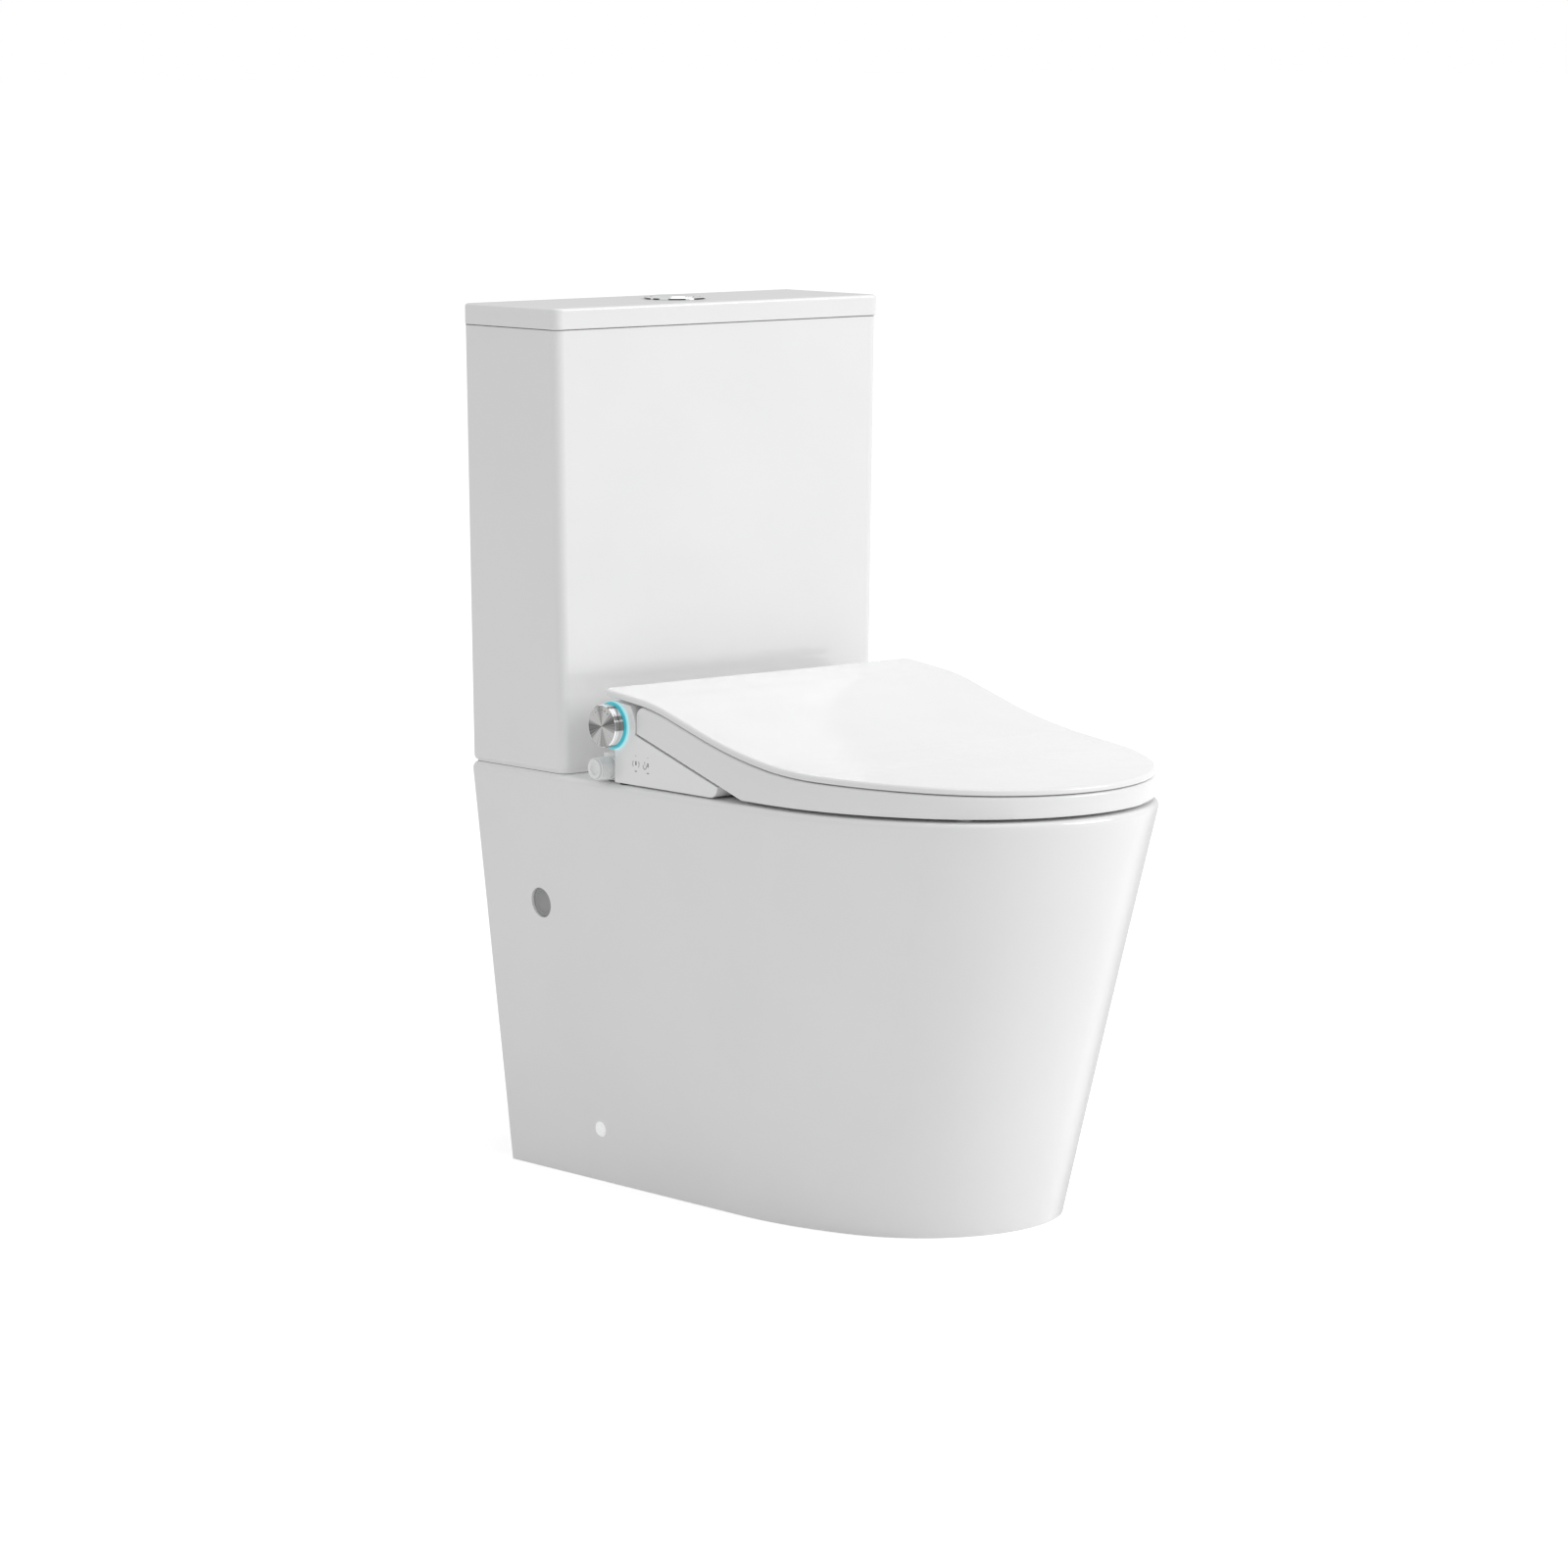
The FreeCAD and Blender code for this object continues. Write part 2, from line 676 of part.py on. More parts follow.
def seat_outline(sketch, half, back, side, front, nose):
    """Straight back and sides with a rounded front, as pans and seats have in plan."""
    wide, rear, end = val(half), val(back), val(side)
    arcs = nose_arcs(wide, end, val(front), val(nose))
    first = sketch.GeometryCount
    spots = [FreeCAD.Vector(x, y, 0) for x, y in ((wide, rear), (-wide, rear), (-wide, end), (wide, end))]
    runs = [Part.LineSegment(spots[0], spots[1]), Part.LineSegment(spots[1], spots[2])]
    runs += list(arcs) + [Part.LineSegment(spots[3], spots[0])]
    for run in runs:
        sketch.addGeometry(run, False)
    join(sketch, (first, END), (first + 1, START))
    join(sketch, (first + 1, END), (first + 2, START), "Tangent")
    join(sketch, (first + 2, END), (first + 3, START), "Tangent")
    join(sketch, (first + 3, END), (first + 4, START), "Tangent")
    join(sketch, (first + 4, END), (first + 5, START), "Tangent")
    join(sketch, (first + 5, END), (first, START))
    pin_point(sketch, first, START, half, back)
    pin_point(sketch, first, END, "-(%s)" % half, back)
    pin_point(sketch, first + 1, END, "-(%s)" % half, side)
    pin_point(sketch, first + 5, START, half, side)
    limit(sketch, Sketcher.Constraint("Radius", first + 3, val(nose)), nose)
    pin_point(sketch, first + 3, CENTRE, "0 * (%s)" % nose, "%s - (%s)" % (nose, front))
    return sketch


def egg(sketch, half, middle, front, nose, back, tail):
    """Closed egg of six arcs: rounded front and rear meeting at the widest line."""
    wide, mid = val(half), val(middle)
    ahead = nose_arcs(wide, mid, val(front), val(nose))
    behind = nose_arcs(wide, -mid, val(back), val(tail))
    first = sketch.GeometryCount
    for run in ahead:
        sketch.addGeometry(run, False)
    for run in behind:
        run.rotate(FreeCAD.Placement(ORIGIN, FreeCAD.Rotation(UP, 180)))
        sketch.addGeometry(run, False)
    for step in range(6):
        if step not in (2, 5):
            join(sketch, (first + step, END), (first + step + 1, START), "Tangent")
    join(sketch, (first + 2, END), (first + 3, START))
    join(sketch, (first + 5, END), (first, START))
    pin_point(sketch, first, START, "-(%s)" % half, middle)
    pin_point(sketch, first + 3, START, half, middle)
    for step in (0, 2, 3, 5):
        limit(sketch, Sketcher.Constraint("DistanceY", *SKETCH_ORIGIN, first + step, CENTRE, mid), middle)
    for step, radius, height in ((1, nose, "%s - %s" % (nose, front)), (4, tail, "%s - %s" % (back, tail))):
        limit(sketch, Sketcher.Constraint("Radius", first + step, val(radius)), radius)
        pin_point(sketch, first + step, CENTRE, "0 * (%s)" % radius, height)
    return sketch


# Feature helpers
def settle(feature):
    """Works a new feature out and stops at once if it fails."""
    doc.recompute()
    if "Invalid" in feature.State or "Error" in feature.State:
        raise ValueError("%s: %s" % (feature.Name, feature.getStatusString()))
    if not feature.Shape.isValid():
        raise ValueError("%s has a faulty shape" % feature.Name)
    return feature


def pad(body, sketch, length, back=False):
    feature = body.newObject("PartDesign::Pad", body.Name + "_pad")
    feature.Profile = sketch
    tie(feature, "Length", length)
    feature.Reversed = back
    return settle(feature)


def pocket(body, sketch, length, back=False):
    before = body.Shape.Volume
    feature = body.newObject("PartDesign::Pocket", body.Name + "_pocket")
    feature.Profile = sketch
    tie(feature, "Length", length)
    feature.Reversed = back
    settle(feature)
    if body.Shape.Volume >= before:
        raise ValueError("pocket takes nothing from " + body.Name)
    return feature


def turn_feature(body, sketch, kind="PartDesign::Revolution"):
    feature = body.newObject(kind, body.Name + "_turn")
    feature.Profile = sketch
    feature.ReferenceAxis = (sketch, ["V_Axis"])
    feature.Angle = 360.0
    return settle(feature)


def loft(body, sections, kind="PartDesign::AdditiveLoft"):
    feature = body.newObject(kind, body.Name + "_loft")
    feature.Profile = sections[0]
    feature.Sections = sections[1:]
    feature.Ruled = True
    return settle(feature)


def soften(body, names, radius, kind="PartDesign::Fillet"):
    """Rounds named edges of the body."""
    last = body.Tip
    feature = body.newObject(kind, body.Name + "_round")
    feature.Base = (last, names)
    tie(feature, "Radius", radius)
    return settle(feature)


def picked(body, test):
    """Names of the body's edges that pass a test."""
    return ["Edge%d" % (i + 1) for i, edge in enumerate(body.Shape.Edges) if test(edge)]


def facing(face):
    """Upward share of a face's normal at its middle."""
    first_u, last_u, first_v, last_v = face.ParameterRange
    return face.normalAt((first_u + last_u) / 2, (first_v + last_v) / 2).z


def is_rim(body, edge, up):
    """Whether a top (or bottom) face meets an upright wall at this edge."""
    tilts = [facing(face) for face in body.Shape.ancestorsOfType(edge, Part.Face)]
    level = [tilt for tilt in tilts if (tilt if up else -tilt) > LEVEL_SHARE]
    walls = [tilt for tilt in tilts if abs(tilt) < WALL_SHARE]
    return len(level) == 1 and len(walls) == 1


def rim(body, up, test=lambda edge: True):
    """Names of the edges round the top or the bottom that also pass a test."""
    return picked(body, lambda edge: is_rim(body, edge, up) and test(edge))


def place(thing, x, y, z, rotation=None):
    """Sets a placement whose base is bound to the sheet."""
    spot = FreeCAD.Vector(val(x), val(y), val(z))
    thing.Placement = FreeCAD.Placement(spot, rotation or FreeCAD.Rotation())
    tie(thing, "Placement.Base.x", x)
    tie(thing, "Placement.Base.y", y)
    tie(thing, "Placement.Base.z", z)
    return thing


def towards(x, y, z):
    """Rotation that turns the local z axis to a direction."""
    return FreeCAD.Rotation(UP, FreeCAD.Vector(x, y, z))


def turned(name, profile, x="0", y="0", z="0", rotation=None):
    """Body turned about its own z axis from (radius, height) corners."""
    body = new_body(name)
    turn_feature(body, chain(sketch_on(body, "XZ"), profile))
    return place(body, x, y, z, rotation)


def tube_profile(bore, radius, low, high):
    return [(bore, low), (radius, low), (radius, high), (bore, high)]


def cylinder(name, radius, length, x, y, z, rotation=None):
    thing = doc.addObject("Part::Cylinder", name)
    tie(thing, "Radius", radius)
    tie(thing, "Height", length)
    return place(thing, x, y, z, rotation)


def box(name, x, y, z, rotation=None):
    """Box between (low, high) pairs along each axis, before any rotation."""
    thing = doc.addObject("Part::Box", name)
    tie(thing, "Length", "%s - (%s)" % (x[1], x[0]))
    tie(thing, "Width", "%s - (%s)" % (y[1], y[0]))
    tie(thing, "Height", "%s - (%s)" % (z[1], z[0]))
    return place(thing, x[0], y[0], z[0], rotation)


def join_shapes(name, things):
    fused = doc.addObject("Part::MultiFuse", name)
    fused.Shapes = things
    return fused


def cut_shapes(name, base, tools):
    tool = tools[0] if len(tools) == 1 else join_shapes(name + "_tools", tools)
    cut = doc.addObject("Part::Cut", name)
    cut.Base = base
    cut.Tool = tool
    return cut


def mirrored(thing):
    twin = doc.addObject("Part::Mirroring", thing.Name + "_twin")
    twin.Source = thing
    twin.Normal = FreeCAD.Vector(1, 0, 0)
    return twin


def node(thing, label):
    """Marks an object as one of the sub-parts that are written out."""
    thing.Label = label
    NODES.append(thing)
    return thing


def group(label, things):
    """One sub-part made of several like solids."""
    bundle = doc.addObject("Part::Compound", label)
    bundle.Links = things
    return node(bundle, label)


def pair(label, thing):
    return group(label, [thing, mirrored(thing)])


def ahead_of_wall(edge):
    """Whether the edge reaches forwards from the wall side."""
    return edge.BoundBox.YMin < val("wall_back - fit")


def upright(edge):
    """Whether the edge is straight and vertical."""
    ends = [vertex.Point for vertex in edge.Vertexes]
    return len(ends) == 2 and abs(ends[0].x - ends[1].x) + abs(ends[0].y - ends[1].y) < val("fit")


def ellipse(name, half, reach, middle, height):
    """Bowl section, longer from front to back than from side to side."""
    thing = doc.addObject("Part::Ellipse", name)
    tie(thing, "MajorRadius", reach)
    tie(thing, "MinorRadius", half)
    return place(thing, "0", middle, height, FreeCAD.Rotation(UP, 90))


def smooth_loft(name, sections):
    thing = doc.addObject("Part::Loft", name)
    thing.Sections = sections
    thing.Solid = True
    thing.Ruled = False
    return thing


def sweep(name, radius, path, x, y, z, rotation):
    """Round rod of a radius along a path object, from a start point."""
    ring = doc.addObject("Part::Circle", name + "_ring")
    tie(ring, "Radius", radius)
    place(ring, x, y, z, rotation)
    thing = doc.addObject("Part::Sweep", name)
    thing.Sections = [ring]
    thing.Spine = (path, ["Edge%d" % (i + 1) for i in range(path.GeometryCount)])
    thing.Solid = True
    thing.Transition = "Right corner"
    return thing


def side_rotation(lean):
    """Turns a local z axis to the outward normal of the skirt on the knob's side."""
    tilt = math.radians(lean)
    return towards(-math.cos(tilt), 0, -math.sin(tilt))


# Pan
def pan_shell():
    """Tapered skirt with the deck, hollow below and open to the wall."""
    body = new_body("pan_shell")
    outlines = [("0", [*FOOT])]
    for up_share, in_share in ROUND_SHARES:
        height = "(pan_top - rim_round + rim_round * %s)" % up_share
        inset = "rim_round * %s" % in_share
        half, side, front, nose = [at_height(a, b, height) for a, b in zip(FOOT, DECK)]
        outlines.append((height, [half + " - " + inset, side, front + " - " + inset, nose + " - " + inset]))
    sections = []
    for height, (half, side, front, nose) in outlines:
        sketch = sketch_on(body, "XY", height)
        sections.append(seat_outline(sketch, half, "wall_back", side, "(%s)" % front, nose))
    loft(body, sections)
    roof = [at_height(a, b, "cavity_roof") for a, b in zip(FOOT, DECK)]
    sections = []
    for height, (half, side, front, nose) in (("0", FOOT), ("cavity_roof", roof)):
        sketch = sketch_on(body, "XY", height)
        half, front, nose = [size + " - pan_wall" for size in (half, front, nose)]
        sections.append(seat_outline(sketch, half, "wall_back + margin", side, "(%s)" % front, nose))
    loft(body, sections, "PartDesign::SubtractiveLoft")
    return body


def bowl_solid(name, wall, top, bottom):
    """Bowl grown by a wall, from a top height to a bottom height."""
    shape = (
        ("bowl_top", top),
        ("bowl_mid", "bowl_mid_z"),
        ("bowl_low", "bowl_low_z"),
        ("sump", bottom),
    )
    sections = []
    for part_name, height in shape:
        half = "%s_half + %s" % (part_name, wall)
        reach = "%s_reach + %s" % (part_name, wall)
        sections.append(ellipse("%s_%s" % (name, part_name), half, reach, part_name + "_mid", height))
    return smooth_loft(name, sections)


def trap_path():
    """Centre line of the trapway in the middle plane, from sump to outlet."""
    path = doc.addObject("Sketcher::SketchObject", "trap_path")
    path.Placement = FreeCAD.Placement(ORIGIN, FreeCAD.Rotation(FreeCAD.Vector(1, 1, 1), 120))
    up_y = "trap_bend_y + trap_bend * sin(trap_rise_angle)"
    up_z = "trap_low_z + trap_bend * (1 - cos(trap_rise_angle))"
    crest_y = "%s + trap_run * cos(trap_rise_angle)" % up_y
    crest_z = "%s + trap_run * sin(trap_rise_angle)" % up_z
    over_y = "%s + trap_bend * (sin(trap_rise_angle) + sin(trap_fall_angle))" % crest_y
    over_z = "%s + trap_bend * (cos(trap_fall_angle) - cos(trap_rise_angle))" % crest_z
    drop = "(%s - outlet_z - trap_bend * (1 - cos(trap_fall_angle)))" % over_z
    foot_y = "%s + %s / tan(trap_fall_angle)" % (over_y, drop)
    foot_z = "outlet_z + trap_bend * (1 - cos(trap_fall_angle))"
    level_y = "%s + trap_bend * sin(trap_fall_angle)" % foot_y
    points = [
        ("sump_mid", "trap_low_z"),
        ("trap_bend_y", "trap_low_z"),
        (up_y, up_z, "trap_bend", True),
        (crest_y, crest_z),
        (over_y, over_z, "trap_bend", False),
        (foot_y, foot_z),
        (level_y, "outlet_z", "trap_bend", True),
        ("outlet_end", "outlet_z"),
    ]
    return chain(path, points, closed=False)


def trap_solid(name, path, radius):
    return sweep(name, radius, path, "0", "sump_mid", "trap_low_z", towards(0, 1, 0))


def side_spot(height):
    """Point on the skirt's outer face on the knob's side at a height."""
    return "-" + at_height("foot_half", "pan_half", height)


def side_drill(name, radius, depth, y, z):
    """Hole tool square to the skirt, reaching in from outside it."""
    tilt = side_rotation(SKIRT_LEAN)
    inward = FreeCAD.Rotation(FreeCAD.Vector(0, 1, 0), 180)
    tool = cylinder(name, radius, depth, side_spot(z), y, z, tilt.multiply(inward))
    return tool


def pan():
    shell = pan_shell()
    path = trap_path()
    outer = join_shapes(
        "pan_body",
        [
            shell,
            bowl_solid("bowl_outer", "bowl_wall", "cavity_roof + bowl_over", "sump_z - bowl_wall"),
            trap_solid("trap_outer", path, "trap_bore + trap_wall"),
        ],
    )
    tools = [
        bowl_solid("bowl_inner", "0", "pan_top + bowl_over", "sump_z"),
        trap_solid("trap_inner", path, "trap_bore"),
        box(
            "flush_channel",
            ("-channel_half", "channel_half"),
            ("channel_front", "flush_y"),
            ("channel_low", "channel_high"),
        ),
        cylinder("inlet_hole", "inlet_radius", "margin", "0", "flush_y", "channel_low"),
        cylinder("inlet_recess", "recess_radius", "margin", "0", "flush_y", "recess_floor"),
        cylinder("fill_way", "fill_hole", "pan_top", "fill_x", "flush_y", "cavity_roof - margin"),
    ]
    for x, y, radius, label in (
        ("tank_bolt_x", "flush_y", "tank_bolt_hole", "tank_bolt_way"),
        ("seat_bolt_x", "seat_bolt_y", "seat_bolt_hole", "seat_bolt_way"),
    ):
        for side, sign in (("left", "-"), ("right", "")):
            tools.append(cylinder(label + side, radius, "pan_top", sign + x, y, "cavity_roof - margin"))
    for label, radius, depth, y, z in (
        ("plug_way", "plug_hole", "margin", "plug_y", "plug_z"),
        ("screw_way", "screw_hole", "margin", "bracket_y", "screw_z"),
        ("screw_recess", "screw_recess_radius", "screw_recess_deep", "bracket_y", "screw_z"),
    ):
        tool = side_drill(label, radius, depth, y, z)
        tools += [tool, mirrored(tool)]
    node(cut_shapes("pan", outer, tools), "pan")


# Cistern
def tank_section(body, height, half, depth, round_radius, rear="wall_back"):
    """Tank outline at a height, with rounded front corners and a square back."""
    front = "(wall_back - %s)" % depth
    points = [
        (half, rear),
        ("-(%s)" % half, rear),
        ("-(%s)" % half, "%s + %s" % (front, round_radius)),
        ("%s - (%s)" % (round_radius, half), front, round_radius, True),
        ("%s - %s" % (half, round_radius), front),
        (half, "%s + %s" % (front, round_radius), round_radius, True),
    ]
    return chain(sketch_on(body, "XY", height), points)


def tank_inner(body, height, half, depth):
    """Outline of the tank's inside at a height."""
    front = "wall_back - %s + tank_wall" % depth
    return rectangle(
        sketch_on(body, "XY", height),
        "tank_wall - %s" % half,
        "%s - tank_wall" % half,
        front,
        "wall_back - tank_wall",
    )


def cistern_tank():
    body = new_body("cistern_tank")
    beyond = "wall_back + margin"
    sections = []
    for up_share, in_share in reversed(ROUND_SHARES):
        inset = "tank_low_round * %s" % in_share
        height = "tank_low + tank_low_round * (1 - %s)" % up_share
        half, depth = "tank_low_half - " + inset, "(tank_low_depth - %s)" % inset
        sections.append(tank_section(body, height, half, depth, "tank_round", beyond))
    sections.append(tank_section(body, "tank_high", "tank_top_half", "tank_top_depth", "tank_round", beyond))
    loft(body, sections)
    left, right = "-(tank_top_half + margin)", "tank_top_half + margin"
    behind = rectangle(sketch_on(body, "XY", "tank_high"), left, right, "wall_back", beyond + " + margin")
    pocket(body, behind, "tank_tall")
    share = "((tank_in - tank_low) / (tank_high - tank_low))"
    half = "(tank_low_half + (tank_top_half - tank_low_half) * %s)" % share
    depth = "(tank_low_depth + (tank_top_depth - tank_low_depth) * %s)" % share
    sections = [
        tank_inner(body, "tank_in", half, depth),
        tank_inner(body, "tank_high", "tank_top_half", "tank_top_depth"),
    ]
    loft(body, sections, "PartDesign::SubtractiveLoft")
    holes = sketch_on(body, "XY", "tank_in")
    circle(holes, "0", "flush_y", "tank_outlet_radius")
    circle(holes, "fill_x", "flush_y", "fill_tank_hole")
    circle(holes, "tank_bolt_x", "flush_y", "tank_bolt_hole")
    circle(holes, "-tank_bolt_x", "flush_y", "tank_bolt_hole")
    pocket(body, holes, "tank_floor + tank_seam")
    node(body, "cistern_tank")


def cistern_lid():
    body = new_body("cistern_lid")
    outline = tank_section(body, "tank_high", "cover_half", "cover_depth", "cover_round")
    pad(body, outline, "cover_thick")
    soften(body, rim(body, True), "cover_edge")
    soften(body, rim(body, False), "cover_low_edge")
    outer = "tank_wall + ledge_clearance"
    inner = outer + " + ledge_wide"
    ledge = sketch_on(body, "XY", "tank_high")
    for inset in (outer, inner):
        rectangle(
            ledge,
            "%s - tank_top_half" % inset,
            "tank_top_half - (%s)" % inset,
            "wall_back - tank_top_depth + %s" % inset,
            "wall_back - (%s)" % inset,
        )
    pad(body, ledge, "ledge_deep", True)
    hole = circle(sketch_on(body, "XY", "cover_top"), "0", "flush_y", "sleeve_radius + sleeve_clearance")
    pocket(body, hole, "cover_thick + ledge_deep")
    node(body, "cistern_lid")


def flush_button():
    """Bezel, its nut, the two button halves and their push rods."""
    bezel = [
        ("sleeve_bore", "-(cover_thick + sleeve_tail)"),
        ("sleeve_radius", "-(cover_thick + sleeve_tail)"),
        ("sleeve_radius", "0"),
        ("bezel_radius", "0"),
        ("bezel_radius", "bezel_high - bezel_edge"),
        ("bezel_radius - bezel_edge", "bezel_high"),
        ("sleeve_bore", "bezel_high"),
    ]
    node(turned("button_bezel", bezel, "0", "flush_y", "cover_top"), "button_bezel")
    nut = tube_profile("sleeve_radius + fit", "sleeve_nut_radius", "-sleeve_nut_high", "0")
    node(turned("button_nut", nut, "0", "flush_y", "tank_high"), "button_nut")
    radius = "sleeve_bore - button_clearance"
    cap = [
        ("0", "-button_deep"),
        (radius, "-button_deep"),
        (radius, "button_proud - button_dome"),
        (radius + " - button_dome", "button_proud"),
        ("0", "button_proud"),
    ]
    for label, low, high in (
        ("full_flush_button", "button_split_x - button_split / 2", "margin"),
        ("half_flush_button", "-margin", "button_split_x + button_split / 2"),
    ):
        body = turned(label, cap, "0", "flush_y", "cover_top")
        away = rectangle(sketch_on(body, "XY", "margin"), low, high, "-margin", "margin")
        pocket(body, away, "margin * 2")
        node(body, label)
    foot = "valve_tower_top - rod_entry"
    length = "cover_top - button_deep - (%s)" % foot
    for label, x in (("full_flush_rod", "-full_rod_x"), ("half_flush_rod", "half_rod_x")):
        node(cylinder(label, "rod_radius", length, x, "flush_y", foot), label)


def flush_valve():
    """Cage with threaded tail, lifting overflow with its seal, washer, nut and gasket."""
    body = new_body("flush_valve")
    lower = [
        ("valve_bore", "valve_tail_low"),
        ("valve_tail_radius", "valve_tail_low"),
        ("valve_tail_radius", "valve_flange"),
        ("valve_flange_radius", "valve_flange"),
        ("valve_flange_radius", "valve_flange + valve_flange_thick"),
        ("valve_seat_radius", "valve_flange + valve_flange_thick"),
        ("valve_seat_radius", "valve_seat"),
        ("valve_bore", "valve_seat"),
    ]
    turn_feature(body, chain(sketch_on(body, "XZ"), lower))
    foot = "valve_flange + valve_flange_thick"
    posts = sketch_on(body, "XY", foot)
    for x, y in (("valve_post_ring", "0"), ("-valve_post_ring", "0"), ("0", "valve_post_ring"), ("0", "-valve_post_ring")):
        circle(posts, x, y, "valve_post_radius")
    body.AllowCompound = True
    pad(body, posts, "valve_post_high")
    collar = foot + " + valve_post_high"
    upper = [
        ("valve_tower_bore", collar),
        ("valve_collar_radius", collar),
        ("valve_collar_radius", collar + " + valve_collar_high"),
        ("valve_tower_radius", collar + " + valve_collar_high + valve_collar_radius - valve_tower_radius"),
        ("valve_tower_radius", "valve_tower_top"),
        ("0", "valve_tower_top"),
        ("0", "valve_tower_top - valve_cap_thick"),
        ("valve_tower_bore", "valve_tower_top - valve_cap_thick"),
    ]
    turn_feature(body, chain(sketch_on(body, "XZ"), upper))
    sockets = sketch_on(body, "XY", "valve_tower_top")
    circle(sockets, "-full_rod_x", "0", "rod_radius + rod_clearance")
    circle(sockets, "half_rod_x", "0", "rod_radius + rod_clearance")
    pocket(body, sockets, "rod_socket_deep")
    node(place(body, "0", "flush_y", "0"), "flush_valve")
    foot = "valve_seat + valve_seal_thick"
    tube = [
        ("overflow_bore", foot),
        ("overflow_foot_radius", foot),
        ("overflow_foot_radius", foot + " + overflow_foot_thick"),
        ("overflow_radius", foot + " + overflow_foot_thick * 2"),
        ("overflow_radius", "overflow_top"),
        ("overflow_bore", "overflow_top"),
    ]
    node(turned("overflow_tube", tube, "0", "flush_y"), "overflow_tube")
    for label, bore, radius, low, high in (
        ("flush_seal", "valve_seal_bore", "valve_seat_radius", "valve_seat", foot),
        ("flush_washer", "tank_outlet_radius", "valve_flange_radius", "tank_in", "valve_flange"),
        ("flush_nut", "valve_tail_radius + fit", "valve_nut_radius", "tank_low - valve_nut_high", "tank_low"),
        ("tank_gasket", "gasket_bore", "gasket_radius", "recess_floor", "tank_low - valve_nut_high"),
    ):
        node(turned(label, tube_profile(bore, radius, low, high), "0", "flush_y"), label)


def fill_valve():
    """Inlet valve tower, its float, washer and nut."""
    foot = "tank_in + washer_thick"
    head = "fill_tower_top + fill_head_radius - fill_tower_radius"
    tower = [
        ("fill_bore", "fill_shank_low"),
        ("fill_shank_radius", "fill_shank_low"),
        ("fill_shank_radius", "fill_shank_low + fill_shank_long"),
        ("fill_stem_radius", "fill_shank_low + fill_shank_long"),
        ("fill_stem_radius", foot),
        ("fill_flange_radius", foot),
        ("fill_flange_radius", foot + " + fill_flange_thick"),
        ("fill_tower_radius", foot + " + fill_flange_thick * 2"),
        ("fill_tower_radius", "float_low - float_stop_high"),
        ("float_stop_radius", "float_low - float_stop_high"),
        ("float_stop_radius", "float_low"),
        ("fill_tower_radius", "float_low"),
        ("fill_tower_radius", "fill_tower_top"),
        ("fill_head_radius", head),
        ("fill_head_radius", head + " + fill_head_high"),
        ("0", head + " + fill_head_high"),
        ("0", head),
        ("fill_bore", head),
    ]
    node(turned("fill_valve", tower, "fill_x", "flush_y"), "fill_valve")
    bore = "fill_tower_radius + float_clearance"
    cup = [
        (bore, "0"),
        ("float_radius - float_round", "0"),
        ("float_radius", "float_round"),
        ("float_radius", "float_high - float_round"),
        ("float_radius - float_round", "float_high"),
        (bore, "float_high"),
    ]
    node(turned("fill_float", cup, "fill_x", "flush_y", "float_low"), "fill_float")
    hole = "fill_tank_hole"
    for label, bore, low, high in (
        ("fill_washer", hole, "tank_in", foot),
        ("fill_nut", "fill_stem_radius + fit", "tank_low - fill_nut_high", "tank_low"),
    ):
        ring = tube_profile(bore, "fill_flange_radius", low, high)
        node(turned(label, ring, "fill_x", "flush_y"), label)


def tank_fixings():
    """Bolts, cone washers and wing nuts that hold the tank, and the pads it stands on."""
    top = "tank_in + cone_washer_high"
    bolt = [
        ("0", "tank_bolt_low"),
        ("tank_bolt_radius", "tank_bolt_low"),
        ("tank_bolt_radius", top),
        ("tank_bolt_head_radius", top),
        ("tank_bolt_head_radius", top + " + tank_bolt_head_high"),
        ("0", top + " + tank_bolt_head_high"),
    ]
    pair("tank_bolts", turned("tank_bolt", bolt, "-tank_bolt_x", "flush_y"))
    cone = [
        ("tank_bolt_radius + fit", "tank_in"),
        ("cone_washer_foot", "tank_in"),
        ("cone_washer_top", top),
        ("tank_bolt_radius + fit", top),
    ]
    pair("tank_cone_washers", turned("tank_cone_washer", cone, "-tank_bolt_x", "flush_y"))
    hub = tube_profile("tank_bolt_radius + fit", "wing_nut_radius", "cavity_roof - wing_nut_high", "cavity_roof")
    wing = turned("tank_wing_nut", hub, "-tank_bolt_x", "flush_y")
    blade = "(wing_nut_radius - wing_thick)"
    for sign in ("", "-"):
        plate = [
            (sign + blade, "cavity_roof - wing_nut_high"),
            (sign + "wing_reach", "cavity_roof - wing_nut_high - wing_drop"),
            (sign + "wing_reach", "cavity_roof - wing_drop"),
            (sign + blade, "cavity_roof - wing_drop"),
        ]
        pad(wing, chain(sketch_on(wing, "XZ", "wing_thick / 2"), plate), "wing_thick")
    pair("tank_wing_nuts", wing)
    pads = []
    for label, y in (("front_pad", "pad_front_y"), ("rear_pad", "pad_rear_y")):
        strip = box(
            label,
            ("-(pad_inner_x + pad_long)", "-pad_inner_x"),
            (y, y + " + pad_wide"),
            ("pan_top", "tank_low"),
        )
        pads += [strip, mirrored(strip)]
    group("tank_pads", pads)


